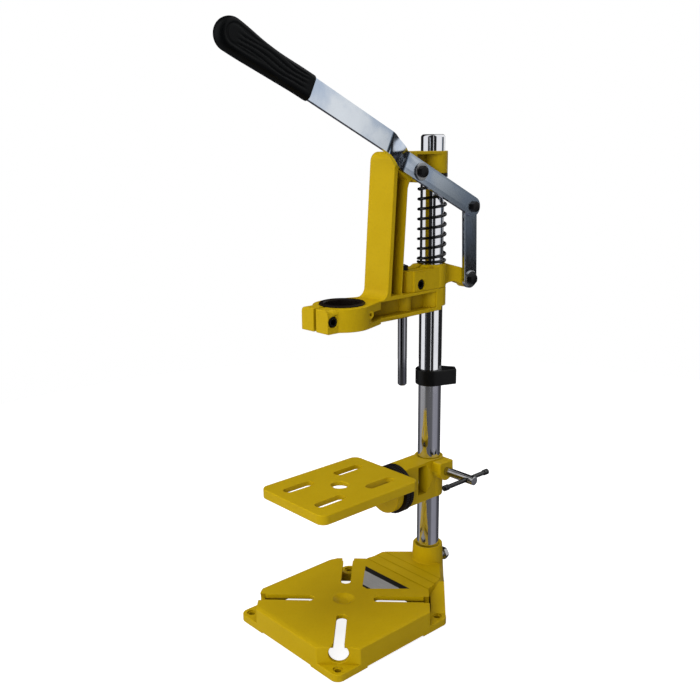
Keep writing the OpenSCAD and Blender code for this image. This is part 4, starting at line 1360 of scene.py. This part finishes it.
@dataclass
class Studio:
    """Camera, lamps, world and floor. Ramp tables hold (compass share, colour), as Tree.around counts."""

    azimuth: float = 48.02
    elevation: float = 13.715
    roll: float = -0.514
    focal_px: float = 864.1
    picture_px: float = 700.0
    sensor: float = 36.0
    position: Point = (0.62295, -0.67833, 0.50084)
    lamp_target: Point = (0.0, -0.05, 0.28)
    floor_radius: float = 1.05
    floor_z: float = -0.5 * MM

    LAMPS = (Lamp("front_softbox", (-0.7, -1.6, 1.1), (1.1, 1.3), 9.0, (1.0, 0.99, 0.97)),
             Lamp("right_softbox", (0.85, -1.75, 0.8), (0.9, 1.2), 19.0, (0.99, 0.99, 1.0)),
             Lamp("top_softbox", (0.0, -0.2, 2.1), (1.9, 1.9), 17.0),
             Lamp("rear_softbox", (-1.2, 1.4, 1.1), (1.0, 1.0), 4.0))
    DARK, PALE = (0.015, 0.015, 0.016), (0.95, 0.96, 0.98)
    # two bright walls with a slit between them, seen by the column and the rod
    ROOM = ((0.078, DARK), (0.092, PALE), (0.227, PALE), (0.238, DARK), (0.374, DARK), (0.381, PALE),
            (0.386, PALE), (0.393, DARK), (0.456, DARK), (0.470, PALE), (0.596, PALE), (0.606, DARK))
    # a pale corner above the horizon, seen by the lever's bar
    CORNER = ((0.590, DARK), (0.606, PALE), (0.624, PALE), (0.640, (0.13, 0.19, 0.26)), (0.665, DARK),
              (0.702, DARK), (0.712, PALE), (0.800, PALE), (0.815, DARK))
    # the same corner, wider, higher up, seen by the bar's bend
    LOFT = ((0.590, DARK), (0.606, PALE), (0.800, PALE), (0.830, DARK))
    BELOW = (0.22, 0.22, 0.25)
    FLOOR_SIDES = ((0.06, (0.10, 0.10, 0.11)), (0.10, (0.36, 0.36, 0.37)), (0.22, (0.30, 0.30, 0.31)),
                   (0.27, (0.10, 0.10, 0.10)), (0.44, (0.12, 0.12, 0.13)), (0.48, (0.27, 0.27, 0.31)),
                   (0.60, (0.25, 0.25, 0.29)), (0.66, (0.06, 0.06, 0.07)))
    AMBIENT = (0.24, 0.24, 0.243)

    def build(self) -> None:
        """Builds the whole set."""
        self.build_camera()
        self.build_lamps()
        self.build_world()
        self.build_floor()

    def build_camera(self) -> None:
        """The camera at the photograph's place."""
        data = bpy.data.cameras.new("photo_camera")
        data.sensor_fit = "HORIZONTAL"
        data.sensor_width = self.sensor
        data.lens = self.focal_px * self.sensor / self.picture_px
        data.clip_start = 0.01
        data.clip_end = 50.0
        camera = bpy.data.objects.new("photo_camera", data)
        camera.matrix_world = Matrix.Translation(Vector(self.position))
        for angle, axis in ((self.azimuth, "Z"), (90.0 - self.elevation, "X"), (self.roll, "Z")):
            camera.matrix_world = camera.matrix_world @ Matrix.Rotation(math.radians(angle), 4, axis)
        bpy.context.scene.collection.objects.link(camera)
        bpy.context.scene.camera = camera

    def build_lamps(self) -> None:
        """Soft area lamps that look at the middle of the stand."""
        for lamp in self.LAMPS:
            data = bpy.data.lights.new(lamp.name, "AREA")
            data.shape = "RECTANGLE"
            data.size, data.size_y = lamp.size
            data.energy = lamp.power
            data.color = lamp.color
            light = bpy.data.objects.new(lamp.name, data)
            light.location = lamp.place
            light.visible_glossy = False
            aim = Vector(self.lamp_target) - Vector(lamp.place)
            light.rotation_euler = aim.to_track_quat("-Z", "Y").to_euler()
            bpy.context.scene.collection.objects.link(light)

    def build_world(self) -> None:
        """White behind the object, a room with dark and pale sides in its reflections."""
        world = bpy.data.worlds.new("studio_world")
        world.use_nodes = True
        bpy.context.scene.world = world
        tree = Tree(world.node_tree)
        direction = tree.add("TexCoord").outputs["Generated"]
        height = tree.add("SeparateXYZ", {0: direction}).outputs[2]
        share = tree.around(direction)
        room = tree.ramp(share, self.ROOM)
        upper = tree.map(height, 0.0, 1.0, -0.10, -0.03)
        walls = tree.mix(upper, room, tree.mix(1.0, room, tree.ramp(share, self.CORNER), "LIGHTEN"))
        high = tree.map(height, 0.0, 1.0, 0.08, 0.2)
        walls = tree.mix(high, walls, tree.mix(1.0, walls, tree.ramp(share, self.LOFT), "LIGHTEN"))
        reflected = tree.mix(tree.map(height, 1.0, 0.0, -0.42, -0.26), walls, self.BELOW)
        light = tree.add("LightPath").outputs
        seen = tree.mix(light["Is Glossy Ray"], self.AMBIENT, reflected)
        color = tree.mix(light["Is Camera Ray"], seen, (1.0, 1.0, 1.0))
        back = tree.add("Background", {"Color": color, "Strength": 1.0})
        tree.add("OutputWorld", {"Surface": back.outputs[0]})

    def build_floor(self) -> None:
        """A pale floor that keeps the stand's shadow and looks grey in reflections."""
        bm = bmesh.new()
        bmesh.ops.create_circle(bm, segments=96, radius=self.floor_radius, cap_ends=True)
        bmesh.ops.translate(bm, verts=bm.verts, vec=(0, 0, self.floor_z))
        material, tree = new_material("studio_floor")
        light = tree.add("LightPath").outputs
        plain = tree.add("BsdfDiffuse", {"Color": (0.55, 0.55, 0.55, 1.0)}).outputs[0]
        glow = tree.add("Emission", {"Color": (1.0, 1.0, 1.0, 1.0), "Strength": 0.86}).outputs[0]
        lit = tree.add("AddShader", {0: plain, 1: glow}).outputs[0]
        sides = tree.ramp(tree.around(tree.place()), self.FLOOR_SIDES)
        mirrored = tree.add("Emission", {"Color": sides, "Strength": 1.0}).outputs[0]
        bounce = tree.add("MixShader", {0: light["Is Glossy Ray"], 1: plain, 2: mirrored}).outputs[0]
        seen = tree.add("MixShader", {0: light["Is Camera Ray"], 1: bounce, 2: lit}).outputs[0]
        tree.add("OutputMaterial", {"Surface": seen})
        mesh_object("studio_floor", bm, material)


def main() -> None:
    """Builds the stand and its studio, piece by piece."""
    logging.basicConfig(level=logging.INFO, format="%(name)s: %(message)s")
    bpy.context.scene.view_settings.view_transform = "Standard"
    kit = Finishes()
    lever = LeverBar(kit)
    builders: tuple = (Castings(kit), Column(kit), TableSet(kit), FeedSet(kit), SmallParts(kit),
                       Fasteners(kit), lever, Grip(kit, lever.place), Studio())
    for builder in builders:
        builder.build()
        LOG.info("%s is done", type(builder).__name__)


if __name__ == "__main__":
    main()
